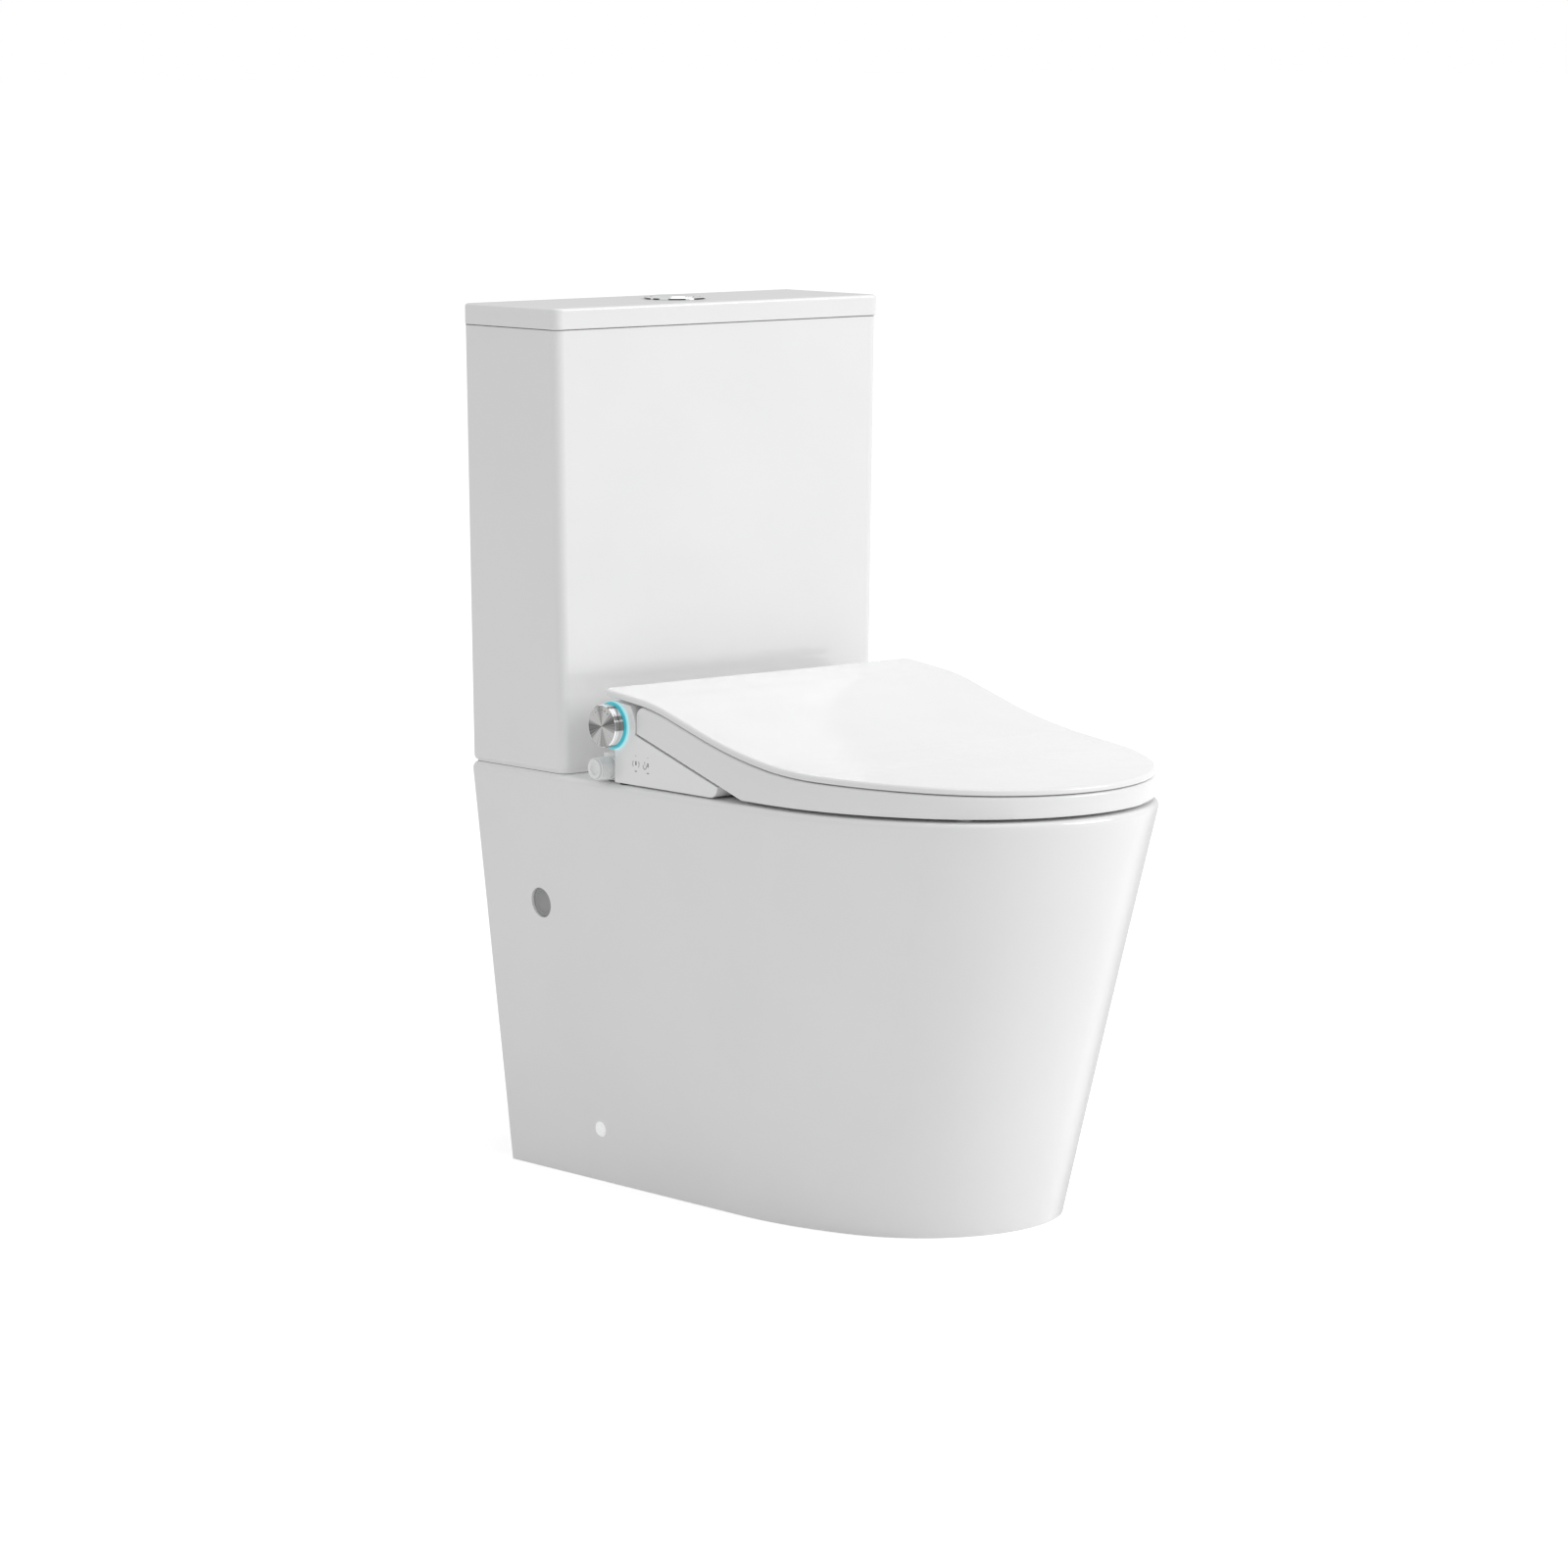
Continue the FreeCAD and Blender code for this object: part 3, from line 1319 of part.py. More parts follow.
# Fixings of the pan
def pan_fixings():
    """Side plugs, floor brackets, the screws into them and the screw caps."""
    tilt = side_rotation(SKIRT_LEAN)
    lip = "-(pan_wall + plug_lip_gap)"
    radius = "plug_hole - plug_clearance"
    plug = [
        ("0", lip + " - plug_lip"),
        ("plug_lip_radius", lip + " - plug_lip"),
        ("plug_lip_radius", lip),
        (radius, lip),
        (radius, "-plug_recess"),
        ("plug_dish_radius", "-plug_recess"),
        ("plug_dish_radius - plug_dish", "-(plug_recess + plug_dish)"),
        ("0", "-(plug_recess + plug_dish)"),
    ]
    pair("side_plugs", turned("side_plug", plug, side_spot("plug_z"), "plug_y", "plug_z", tilt))
    head = "-(screw_recess_deep)"
    screw = [
        ("0", "-(pan_wall + screw_inner)"),
        ("screw_radius", "-(pan_wall + screw_inner)"),
        ("screw_radius", head),
        ("screw_head_radius", head),
        ("screw_head_radius", head + " + screw_head_high"),
        ("0", head + " + screw_head_high"),
    ]
    pair("side_screws", turned("side_screw", screw, side_spot("screw_z"), "bracket_y", "screw_z", tilt))
    cap = [
        ("0", "0"),
        ("cap_radius", "0"),
        ("cap_radius", "cap_skirt"),
        ("cap_flat_radius", "cap_high"),
        ("0", "cap_high"),
    ]
    pair("screw_caps", turned("screw_cap", cap, side_spot("screw_z"), "bracket_y", "screw_z", tilt))
    body = new_body("floor_bracket")
    lean = "((pan_half - foot_half) / pan_top)"
    wall = "(pan_wall * sqrt(1 + %s * %s))" % (lean, lean)
    outer = "(foot_half - %s)" % wall
    angle = [
        ("-bracket_foot_x", "0"),
        ("-%s" % outer, "0"),
        ("-(%s + bracket_high * %s)" % (outer, lean), "bracket_high"),
        ("bracket_thick - (%s + bracket_high * %s)" % (outer, lean), "bracket_high"),
        ("bracket_thick - (%s + bracket_foot_thick * %s)" % (outer, lean), "bracket_foot_thick"),
        ("-bracket_foot_x", "bracket_foot_thick"),
    ]
    pad(body, chain(sketch_on(body, "XZ", "bracket_y + bracket_wide / 2"), angle), "bracket_wide")
    hole = circle(sketch_on(body, "XY", "bracket_foot_thick"), "-floor_hole_x", "bracket_y", "floor_hole_radius")
    pocket(body, hole, "bracket_foot_thick")
    drill = side_drill("bracket_drill", "screw_radius + fit", "margin", "bracket_y", "screw_z")
    pair("floor_brackets", cut_shapes("drilled_bracket", body, [drill]))


# Bidet base
def base_outline(body):
    """Side view of the base: wedge, front arc kept clear of the ring, hinge barrel."""
    rise = "base_front_radius * sin(base_high_angle)"
    dip = "base_front_radius * sin(base_low_angle)"
    points = [
        ("base_rear", "base_low"),
        ("base_tip_y + base_tip_round", "base_low"),
        ("base_tip_y", "base_low + base_tip_round", "base_tip_round", False),
        ("ring_shoulder_y", "ring_shoulder_z - base_gap"),
        ("hinge_y - base_front_radius * cos(base_low_angle)", "hinge_z - " + dip),
        ("hinge_y - base_front_radius * cos(base_high_angle)", "hinge_z + " + rise, "base_front_radius", False),
        ("hinge_y", "hinge_z + barrel_radius"),
        ("hinge_y + barrel_radius", "hinge_z", "barrel_radius", False),
        ("hinge_y", "hinge_z - barrel_radius", "barrel_radius", False),
        ("base_rear", "hinge_z - barrel_radius"),
    ]
    return chain(sketch_on(body, "YZ", "-base_half"), points)


def bidet_base():
    body = new_body("bidet_base")
    pad(body, base_outline(body), "base_half * 2")
    block = rectangle(sketch_on(body, "YZ", "-block_half"), "block_front", "block_rear", "base_low", "block_top")
    pad(body, block, "block_half * 2")
    boss = rectangle(sketch_on(body, "YZ", "-boss_outer"), "block_front", "boss_rear", "slot_floor - margin / 2", "boss_top")
    pad(body, boss, "boss_outer - boss_inner")
    for inner, outer in (("slot_inner_x", "slot_outer_x"), ("-slot_outer_x", "-slot_inner_x")):
        slot = rectangle(sketch_on(body, "XY", "slot_top"), inner, outer, "slot_front", "slot_rear")
        pocket(body, slot, "slot_top - slot_floor")
    gap = [
        ("-bowl_gap_half", "-base_front_end"),
        ("bowl_gap_half", "-base_front_end"),
        ("bowl_gap_half", "bowl_gap_y - bowl_gap_corner"),
        ("bowl_gap_half - bowl_gap_corner", "bowl_gap_y", "bowl_gap_corner", True),
        ("bowl_gap_corner - bowl_gap_half", "bowl_gap_y"),
        ("-bowl_gap_half", "bowl_gap_y - bowl_gap_corner", "bowl_gap_corner", True),
    ]
    pocket(body, chain(sketch_on(body, "XY", "slot_top"), gap), "slot_top - pan_top")
    for left, right, front, rear, roof in (
        ("-bay_half", "bay_half", "bay_front", "bay_rear", "bay_roof"),
        ("-guide_bay_half", "guide_bay_half", "bay_front", "guide_bay_rear", "guide_bay_roof"),
        ("-window_half", "window_half", "bowl_gap_y - margin / 2", "bay_front", "window_top"),
        ("-hose_bay_outer", "-bay_half", "hose_bay_front", "bay_rear", "bay_roof"),
        (
            "-(plate_half + plate_clearance)",
            "plate_half + plate_clearance",
            "plate_front - plate_clearance",
            "plate_rear + plate_clearance",
            "plate_top",
        ),
    ):
        room = rectangle(sketch_on(body, "XY", roof), left, right, front, rear)
        pocket(body, room, "%s - pan_top" % roof)
    bore = circle(sketch_on(body, "YZ", "-control_bore_end"), "hinge_y", "hinge_z", "control_radius + control_clearance")
    pocket(body, bore, "margin * 2")
    way = circle(sketch_on(body, "YZ", "-nipple_tail_end"), "nipple_y", "nipple_z", "nipple_tail_radius + fit")
    pocket(body, way, "margin")
    ports = sketch_on(body, "XY", "valve_flat_z")
    for x in ("inlet_hose_x", "rear_hose_x", "front_hose_x"):
        circle(ports, "-" + x, "hose_y", "hose_radius + hose_clearance")
    pocket(body, ports, "valve_flat_z - bay_roof + hose_radius")
    for start, forward in (("slot_inner_x", False), ("-slot_inner_x", True)):
        seat = circle(sketch_on(body, "YZ", start), "hinge_y", "hinge_z", "damper_radius + fit")
        pocket(body, seat, "slot_inner_x - damper_inner_x", forward)
    node(body, "bidet_base")


def base_pieces():
    """Mounting plate with bolts, bushes and nuts, feet and the cover strip of the hose bay."""
    plate = new_body("mounting_plate")
    outline = sketch_on(plate, "XY", "pan_top")
    rectangle(outline, "-plate_half", "plate_half", "plate_front", "plate_rear")
    pad(plate, outline, "plate_thick")
    soften(plate, picked(plate, upright), "plate_round")
    holes = sketch_on(plate, "XY", "plate_top")
    circle(holes, "seat_bolt_x", "seat_bolt_y", "seat_bolt_radius + fit")
    circle(holes, "-seat_bolt_x", "seat_bolt_y", "seat_bolt_radius + fit")
    pocket(plate, holes, "plate_thick")
    node(plate, "mounting_plate")
    bolt = [
        ("0", "seat_bolt_low"),
        ("seat_bolt_radius", "seat_bolt_low"),
        ("seat_bolt_radius", "plate_top"),
        ("seat_bolt_head_radius", "plate_top"),
        ("seat_bolt_head_radius", "plate_top + seat_bolt_head_high"),
        ("0", "plate_top + seat_bolt_head_high"),
    ]
    pair("seat_bolts", turned("seat_bolt", bolt, "-seat_bolt_x", "seat_bolt_y"))
    bore = "seat_bolt_radius + fit"
    bush = tube_profile(bore, "seat_bolt_hole - bush_clearance", "cavity_roof", "pan_top")
    pair("seat_bushes", turned("seat_bush", bush, "-seat_bolt_x", "seat_bolt_y"))
    nut = tube_profile(bore, "seat_nut_radius", "cavity_roof - seat_nut_high", "cavity_roof")
    pair("seat_nuts", turned("seat_nut", nut, "-seat_bolt_x", "seat_bolt_y"))
    feet = []
    for label in ("front_foot", "rear_foot"):
        foot = cylinder(label, "foot_pad_radius", "base_lift", "-%s_x" % label, label + "_y", "pan_top")
        feet += [foot, mirrored(foot)]
    group("base_feet", feet)
    gap = "cover_strip_clearance"
    strip = box(
        "hose_cover",
        ("%s - hose_bay_outer" % gap, "-(bay_half + %s)" % gap),
        ("hose_bay_front + " + gap, "bay_rear - " + gap),
        ("base_low", "base_low + cover_strip_thick"),
    )
    node(strip, "hose_cover")


def hose_path(name, points):
    """Hose centre line in the plane across the base; first value runs to the side."""
    path = doc.addObject("Sketcher::SketchObject", name + "_path")
    place(path, "0", "hose_y", "0", FreeCAD.Rotation(FreeCAD.Vector(1, 0, 0), 90))
    return chain(path, points, closed=False)


def water_way():
    """Inlet nipple, filter, control valve, spindle and the three hoses."""
    west = towards(-1, 0, 0)
    nipple = [
        ("nipple_bore", "nipple_tail_end"),
        ("nipple_tail_radius", "nipple_tail_end"),
        ("nipple_tail_radius", "block_half"),
        ("nipple_collar_radius", "block_half"),
        ("nipple_collar_radius", "nipple_collar"),
        ("nipple_radius", "nipple_collar"),
        ("nipple_radius", "nipple_end"),
        ("nipple_bore", "nipple_end"),
    ]
    node(turned("inlet_nipple", nipple, "0", "nipple_y", "nipple_z", west), "inlet_nipple")
    sieve = "filter_depth - nipple_end"
    disc = cylinder("inlet_filter", "nipple_bore - fit", "filter_thick", sieve, "nipple_y", "nipple_z", towards(1, 0, 0))
    node(disc, "inlet_filter")
    barrel = [
        ("0", "control_inner"),
        ("control_radius", "control_inner"),
        ("control_radius", "control_outer"),
        ("spindle_radius + fit", "control_outer"),
        ("spindle_radius + fit", "spindle_inner"),
        ("0", "spindle_inner"),
    ]
    valve = turned("control_body", barrel, "0", "hinge_y", "hinge_z", west)
    flat = box(
        "control_flat",
        ("-margin * margin", "0"),
        ("hinge_y - margin", "hinge_y + margin"),
        ("valve_flat_z - margin", "valve_flat_z"),
    )
    node(cut_shapes("control_valve", valve, [flat]), "control_valve")
    length = "spindle_outer - spindle_inner"
    spindle = cylinder("valve_spindle", "spindle_radius", length, "-spindle_inner", "hinge_y", "hinge_z", west)
    node(spindle, "valve_spindle")
    rise = [
        ("-inlet_hose_start", "nipple_z"),
        ("-(inlet_hose_x + hose_bend)", "nipple_z"),
        ("-inlet_hose_x", "nipple_z + hose_bend", "hose_bend", True),
        ("-inlet_hose_x", "valve_flat_z"),
    ]
    hose = sweep(
        "inlet_hose",
        "hose_radius",
        hose_path("inlet_hose", rise),
        "-inlet_hose_start",
        "hose_y",
        "nipple_z",
        towards(1, 0, 0),
    )
    node(hose, "inlet_hose")
    for label, x, z in (("rear_hose", "rear_hose_x", "rear_hose_z"), ("front_hose", "front_hose_x", "front_hose_z")):
        run = [
            ("-" + x, "valve_flat_z"),
            ("-" + x, z + " + hose_bend"),
            ("hose_bend - " + x, z, "hose_bend", True),
            ("-guide_half", z),
        ]
        path = hose_path(label, run)
        tube = sweep(label, "hose_radius", path, "-" + x, "hose_y", "valve_flat_z", towards(0, 0, -1))
        node(tube, label)


def knob_pieces():
    """Turning knob, its brushed cap and the light ring behind it."""
    west = towards(-1, 0, 0)
    glow = tube_profile("glow_bore", "glow_radius", "base_half", "base_half + glow_thick")
    node(turned("light_ring", glow, "0", "hinge_y", "hinge_z", west), "light_ring")
    face = "knob_back + knob_deep"
    knob = [
        ("spindle_radius + fit", "knob_back"),
        ("knob_radius - knob_back_edge", "knob_back"),
        ("knob_radius", "knob_back + knob_back_edge"),
        ("knob_radius", face + " - knob_front_edge"),
        ("knob_radius - knob_front_edge", face),
        ("knob_recess_radius", face),
        ("knob_recess_radius", face + " - knob_recess"),
        ("0", face + " - knob_recess"),
        ("0", "spindle_outer"),
        ("spindle_radius + fit", "spindle_outer"),
    ]
    node(turned("knob", knob, "0", "hinge_y", "hinge_z", west), "knob")
    cap = cylinder(
        "knob_cap",
        "knob_recess_radius - knob_cap_clearance",
        "knob_cap_thick",
        "knob_recess - (%s)" % face,
        "hinge_y",
        "hinge_z",
        west,
    )
    node(cap, "knob_cap")


def nozzle_rotation():
    """Turns a local z axis forwards and down along the nozzles."""
    return FreeCAD.Rotation(FreeCAD.Vector(1, 0, 0), 90 + val("nozzle_tilt_angle"))


def along_nozzle(distance):
    """Point at a distance down the nozzle axis, as y and z sums."""
    y = "nozzle_rear_y - (%s) * cos(nozzle_tilt_angle)" % distance
    z = "nozzle_rear_z - (%s) * sin(nozzle_tilt_angle)" % distance
    return y, z


def nozzle_pieces():
    """Guide block, two sliding nozzles and the guard plate in front of them."""
    slant = nozzle_rotation()
    corner_y = "nozzle_rear_y + guide_half_high * sin(nozzle_tilt_angle)"
    corner_z = "nozzle_rear_z - guide_half_high * cos(nozzle_tilt_angle)"
    block = doc.addObject("Part::Box", "guide_block")
    tie(block, "Length", "guide_half * 2")
    tie(block, "Width", "guide_half_high * 2")
    tie(block, "Height", "guide_long")
    place(block, "-guide_half", corner_y, corner_z, slant)
    top = box(
        "guide_pad",
        ("-guide_pad_half", "guide_pad_half"),
        ("guide_pad_front", "guide_pad_front + guide_pad_long"),
        ("guide_bay_roof - guide_pad_deep", "guide_bay_roof"),
    )
    start_y, start_z = along_nozzle("guide_wall")
    bores = []
    for label, sign in (("left_bore", "-"), ("right_bore", "")):
        radius = "nozzle_radius + nozzle_clearance"
        bores.append(cylinder(label, radius, "guide_long * 2", sign + "nozzle_x", start_y, start_z, slant))
    node(cut_shapes("nozzle_guide", join_shapes("guide_solid", [block, top]), bores), "nozzle_guide")
    end = "nozzle_start + nozzle_long"
    profile = [
        ("0", "nozzle_start"),
        ("nozzle_radius", "nozzle_start"),
        ("nozzle_radius", end + " - nozzle_tip"),
        ("nozzle_radius - nozzle_tip", end),
        ("0", end),
    ]
    for label, sign in (("rear_wash_nozzle", "-"), ("front_wash_nozzle", "")):
        body = turned(label, profile, sign + "nozzle_x", "nozzle_rear_y", "nozzle_rear_z", slant)
        jet = sketch_on(body, "XZ", "nozzle_radius")
        circle(jet, "0", end + " - nozzle_jet_back", "nozzle_jet_radius")
        pocket(body, jet, "nozzle_jet_deep", True)
        node(body, label)
    body = new_body("nozzle_guard")
    plate = rectangle(sketch_on(body, "XZ", "bowl_gap_y"), "-guard_half", "guard_half", "base_low", "guard_top")
    pad(body, plate, "guard_thick")
    holes = sketch_on(body, "XZ", "bowl_gap_y - guard_thick")
    circle(holes, "nozzle_x", "guard_hole_z", "guard_hole")
    circle(holes, "-nozzle_x", "guard_hole_z", "guard_hole")
    pocket(body, holes, "guard_thick")
    node(body, "nozzle_guard")


def hinge_pieces():
    """Damper barrels in the base and the pins that ring and lid turn on."""
    west = towards(-1, 0, 0)
    damper = tube_profile("pin_radius + fit", "damper_radius", "pin_inner_x", "slot_inner_x")
    closed_end = [
        ("0", "damper_inner_x"),
        ("damper_radius", "damper_inner_x"),
        damper[2],
        damper[3],
        damper[0],
        ("0", "pin_inner_x"),
    ]
    pair("hinge_dampers", turned("hinge_damper", closed_end, "0", "hinge_y", "hinge_z", west))
    length = "pin_outer_x - pin_inner_x"
    pair("hinge_pins", cylinder("hinge_pin", "pin_radius", length, "-pin_inner_x", "hinge_y", "hinge_z", west))


# Seat ring and lid
def seam_spot(corner, run, slope, lift):
    """Point at a run from a corner of the seam's polygon, along one of its slopes."""
    y = "seam_%s_y + %s * cos(atan(%s))" % (corner, run, slope)
    z = "seam_%s_z + %s * sin(atan(%s)) + %s" % (corner, run, slope, lift)
    return y, z


def seam_points(lift):
    """Seam curve from the rear to the front, raised by an amount."""
    turn_crest = "seam_crest_run / tan((atan(seam_slope) - atan(crest_slope)) / 2)"
    turn_foot = "seam_foot_run / tan((atan(seam_slope) - atan(front_slope)) / 2)"
    return [
        ("lid_rear", "seam_rear_z + %s" % lift),
        seam_spot("crest", "seam_crest_run", "crest_slope", lift),
        (*seam_spot("crest", "-seam_crest_run", "seam_slope", lift), turn_crest, True),
        seam_spot("foot", "seam_foot_run", "seam_slope", lift),
        (*seam_spot("foot", "-seam_foot_run", "front_slope", lift), turn_foot, False),
        ("-seam_front", "seam_front_z + %s" % lift),
    ]


def trim_outside(body, half, back, side, front, nose):
    """Cuts away whatever lies outside a seat outline in plan."""
    sketch = sketch_on(body, "XY", "seam_rear_z + margin")
    reach = "seam_front + margin"
    rectangle(sketch, "-(%s)" % reach, reach, "-(%s)" % reach, reach)
    seat_outline(sketch, half, back, side, front, nose)
    pocket(body, sketch, "margin * margin")


def seat_ring():
    body = new_body("seat_ring")
    low_rear = "ring_low + (lid_rear - ring_heel_y) * ring_slope"
    profile = seam_points("-lid_gap")
    profile += [("-seam_front", "ring_low"), ("ring_heel_y", "ring_low"), ("lid_rear", low_rear)]
    pad(body, chain(sketch_on(body, "YZ", "-(seat_half + margin)"), profile), "(seat_half + margin) * 2")
    trim_outside(body, "seat_half", "ring_rear", "seat_side_end", "seat_front", "seat_nose")
    hole = sketch_on(body, "XY", "seam_rear_z + margin")
    egg(
        hole,
        "ring_hole_half",
        "ring_hole_mid",
        "ring_hole_front",
        "ring_hole_nose",
        "ring_hole_back",
        "ring_hole_tail",
    )
    pocket(body, hole, "margin * margin")
    soften(body, rim(body, True, on_ring_hole), "ring_hole_round")
    soften(body, rim(body, True, on_ring_rear), "ring_corner_round")
    soften(body, rim(body, True, on_ring_side), "ring_top_round")
    soften(body, rim(body, False, on_ring_side), "ring_low_round")
    arm = [
        ("arm_front", "arm_low"),
        ("hinge_y", "hinge_z - knuckle_radius"),
        ("hinge_y + knuckle_radius", "hinge_z", "knuckle_radius", True),
        ("hinge_y", "hinge_z + knuckle_radius", "knuckle_radius", True),
        ("arm_front", "arm_high"),
    ]
    for start in ("ring_knuckle_x", "-(ring_knuckle_x + knuckle_wide)"):
        pad(body, chain(sketch_on(body, "YZ", start), arm), "knuckle_wide")
    eye = circle(sketch_on(body, "YZ", "seat_half"), "hinge_y", "hinge_z", "pin_radius + fit")
    pocket(body, eye, "seat_half * 2")
    node(body, "seat_ring")


def on_ring_hole(edge):
    """Whether an edge of the ring borders its opening."""
    box_of = edge.BoundBox
    wide = box_of.XMax - box_of.XMin < val("ring_hole_half * 2 + fit * 2")
    within = max(-box_of.XMin, box_of.XMax) < val("ring_hole_half + fit")
    ahead = box_of.YMin > -val("ring_hole_front + fit")
    return wide and within and ahead and box_of.YMax < val("ring_hole_back + fit")


def on_ring_rear(edge):
    """Whether an edge of the ring runs along its rear face."""
    return edge.BoundBox.YMin > val("ring_rear - fit")


def on_ring_side(edge):
    """Whether an edge of the ring belongs to its outer sides or front."""
    return not on_ring_hole(edge) and not on_ring_rear(edge)


def seat_lid():
    body = new_body("seat_lid")
    profile = seam_points("0") + reversed_points(seam_points("lid_thick"))
    pad(body, chain(sketch_on(body, "YZ", "-(seat_half + margin)"), profile), "(seat_half + margin) * 2")
    trim_outside(body, "seat_half", "lid_rear - fit", "seat_side_end", "seat_front", "seat_nose")
    soften(body, picked(body, upright_rear), "lid_corner_round")
    soften(body, rim(body, True), "lid_top_round")
    soften(body, rim(body, False), "lid_low_round")
    block = [
        ("hinge_y - knuckle_radius", "hinge_z"),
        ("hinge_y", "hinge_z - knuckle_radius", "knuckle_radius", True),
        ("hinge_y + knuckle_radius", "hinge_z", "knuckle_radius", True),
        ("hinge_y + knuckle_radius", "lid_knuckle_top"),
        ("hinge_y - knuckle_radius", "lid_knuckle_top"),
    ]
    for start in ("lid_knuckle_x", "-(lid_knuckle_x + knuckle_wide)"):
        pad(body, chain(sketch_on(body, "YZ", start), block), "knuckle_wide")
    eye = circle(sketch_on(body, "YZ", "seat_half"), "hinge_y", "hinge_z", "pin_radius + fit")
    pocket(body, eye, "seat_half * 2")
    node(body, "seat_lid")


def upright_rear(edge):
    return upright(edge) and edge.CenterOfMass.y > val("hinge_y")


def bumpers():
    """Rubber bumpers below the ring and below the lid."""
    solids = []
    for label, x, y in (
        ("front_bumper", "bumper_front_x", "bumper_front_y"),
        ("rear_bumper", "bumper_rear_x", "bumper_rear_y"),
    ):
        foot = cylinder(label, "bumper_radius", "ring_lift", "-" + x, y, "pan_top")
        solids += [foot, mirrored(foot)]
    group("ring_bumpers", solids)
    solids = []
    for label, x, y in (
        ("lid_front_bumper", "lid_bumper_front_x", "lid_bumper_front_y"),
        ("lid_rear_bumper", "lid_bumper_rear_x", "lid_bumper_rear_y"),
    ):
        body = new_body(label)
        profile = seam_points("0") + reversed_points(seam_points("-lid_gap"))
        pad(body, chain(sketch_on(body, "YZ", "-(seat_half + margin)"), profile), "(seat_half + margin) * 2")
        disc = cylinder(label + "_disc", "lid_bumper_radius", "margin * margin", "-" + x, y, "0")
        dot = doc.addObject("Part::Common", label + "_dot")
        dot.Base = body
        dot.Tool = disc
        solids += [dot, mirrored(dot)]
    group("lid_bumpers", solids)


def reversed_points(points):
    """The same run of points walked the other way, arcs turning the other way."""
    back = []
    for step in range(len(points) - 1, -1, -1):
        later = points[step + 1] if step + 1 < len(points) else ()
        arc = (later[2], not later[3]) if len(later) > 2 else ()
        back.append(points[step][:2] + arc)
    return back


def write_parts():
    """Checks every object and writes each sub-part to its own file."""
    doc.recompute()
    for thing in doc.Objects:
        if "Invalid" in thing.State or "Error" in thing.State:
            raise ValueError("%s is %s" % (thing.Name, thing.State))
    os.makedirs("parts", exist_ok=True)
    for thing in NODES:
        shape = thing.Shape
        if shape.isNull() or not shape.isValid() or not shape.Solids:
            raise ValueError("%s has no valid solid" % thing.Label)
        shape.exportStep("parts/%s.step" % thing.Label)


pan()
cistern_tank()
cistern_lid()
flush_button()
flush_valve()
fill_valve()
tank_fixings()
pan_fixings()
bidet_base()
base_pieces()
water_way()
knob_pieces()
nozzle_pieces()
hinge_pieces()
seat_ring()
seat_lid()
bumpers()
write_parts()
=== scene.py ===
"""Bidet toilet suite: glazed pan and cistern, washing seat with its control knob, and a plain studio."""

import functools
import logging
import math
import operator
from dataclasses import dataclass
from enum import Enum
from typing import Any, Optional, Sequence, Union

import bmesh
import bpy
from mathutils import Matrix, Vector


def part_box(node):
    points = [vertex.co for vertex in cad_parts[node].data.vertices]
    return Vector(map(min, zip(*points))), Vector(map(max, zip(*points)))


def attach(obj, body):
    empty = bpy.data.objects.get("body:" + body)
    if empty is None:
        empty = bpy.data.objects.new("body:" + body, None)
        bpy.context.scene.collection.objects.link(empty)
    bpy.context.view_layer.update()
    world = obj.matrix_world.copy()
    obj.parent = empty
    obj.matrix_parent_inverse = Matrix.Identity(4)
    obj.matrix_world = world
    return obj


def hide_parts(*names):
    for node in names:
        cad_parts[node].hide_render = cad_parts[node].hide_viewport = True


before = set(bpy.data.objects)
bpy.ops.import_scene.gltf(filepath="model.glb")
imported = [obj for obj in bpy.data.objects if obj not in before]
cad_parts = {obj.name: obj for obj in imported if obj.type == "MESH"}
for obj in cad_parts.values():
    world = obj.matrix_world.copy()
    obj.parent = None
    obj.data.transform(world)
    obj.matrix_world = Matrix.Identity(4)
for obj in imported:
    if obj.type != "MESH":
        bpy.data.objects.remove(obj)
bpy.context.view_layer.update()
LOG = logging.getLogger("bidet_suite")
Colour = tuple[float, float, float, float]
Point = tuple[float, float, float]
Pair = tuple[float, float]
Number = Union[float, "Value"]
ORIGIN: Point = (0.0, 0.0, 0.0)
EVEN: Point = (1.0, 1.0, 1.0)
UPWARDS: Point = (0.0, 0.0, 1.0)
BLACK: Colour = (0.0, 0.0, 0.0, 1.0)
WHITE: Colour = (1.0, 1.0, 1.0, 1.0)
GOLDEN_SHARE = 0.618034


class Body(str, Enum):
    """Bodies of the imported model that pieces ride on."""

    SUITE = "suite"
    RING = "seat_ring"
    LID = "seat_lid"
    KNOB = "control_knob"
    FULL = "full_flush"
    HALF = "half_flush"


class Slot(str, Enum):
    """Material slots of the record."""

    GLAZE = "glaze"
    SEAT = "seat_plastic"
    CHROME = "chrome"
    BRUSHED = "brushed_metal"
    LIGHT = "light"
    CLEAR = "clear_plastic"
    VALVE = "valve_plastic"
    GREY = "grey_plastic"
    RUBBER = "rubber"
    PALE_RUBBER = "pale_rubber"
    STEEL = "steel"
    ZINC = "zinc_steel"
    HOSE = "hose"


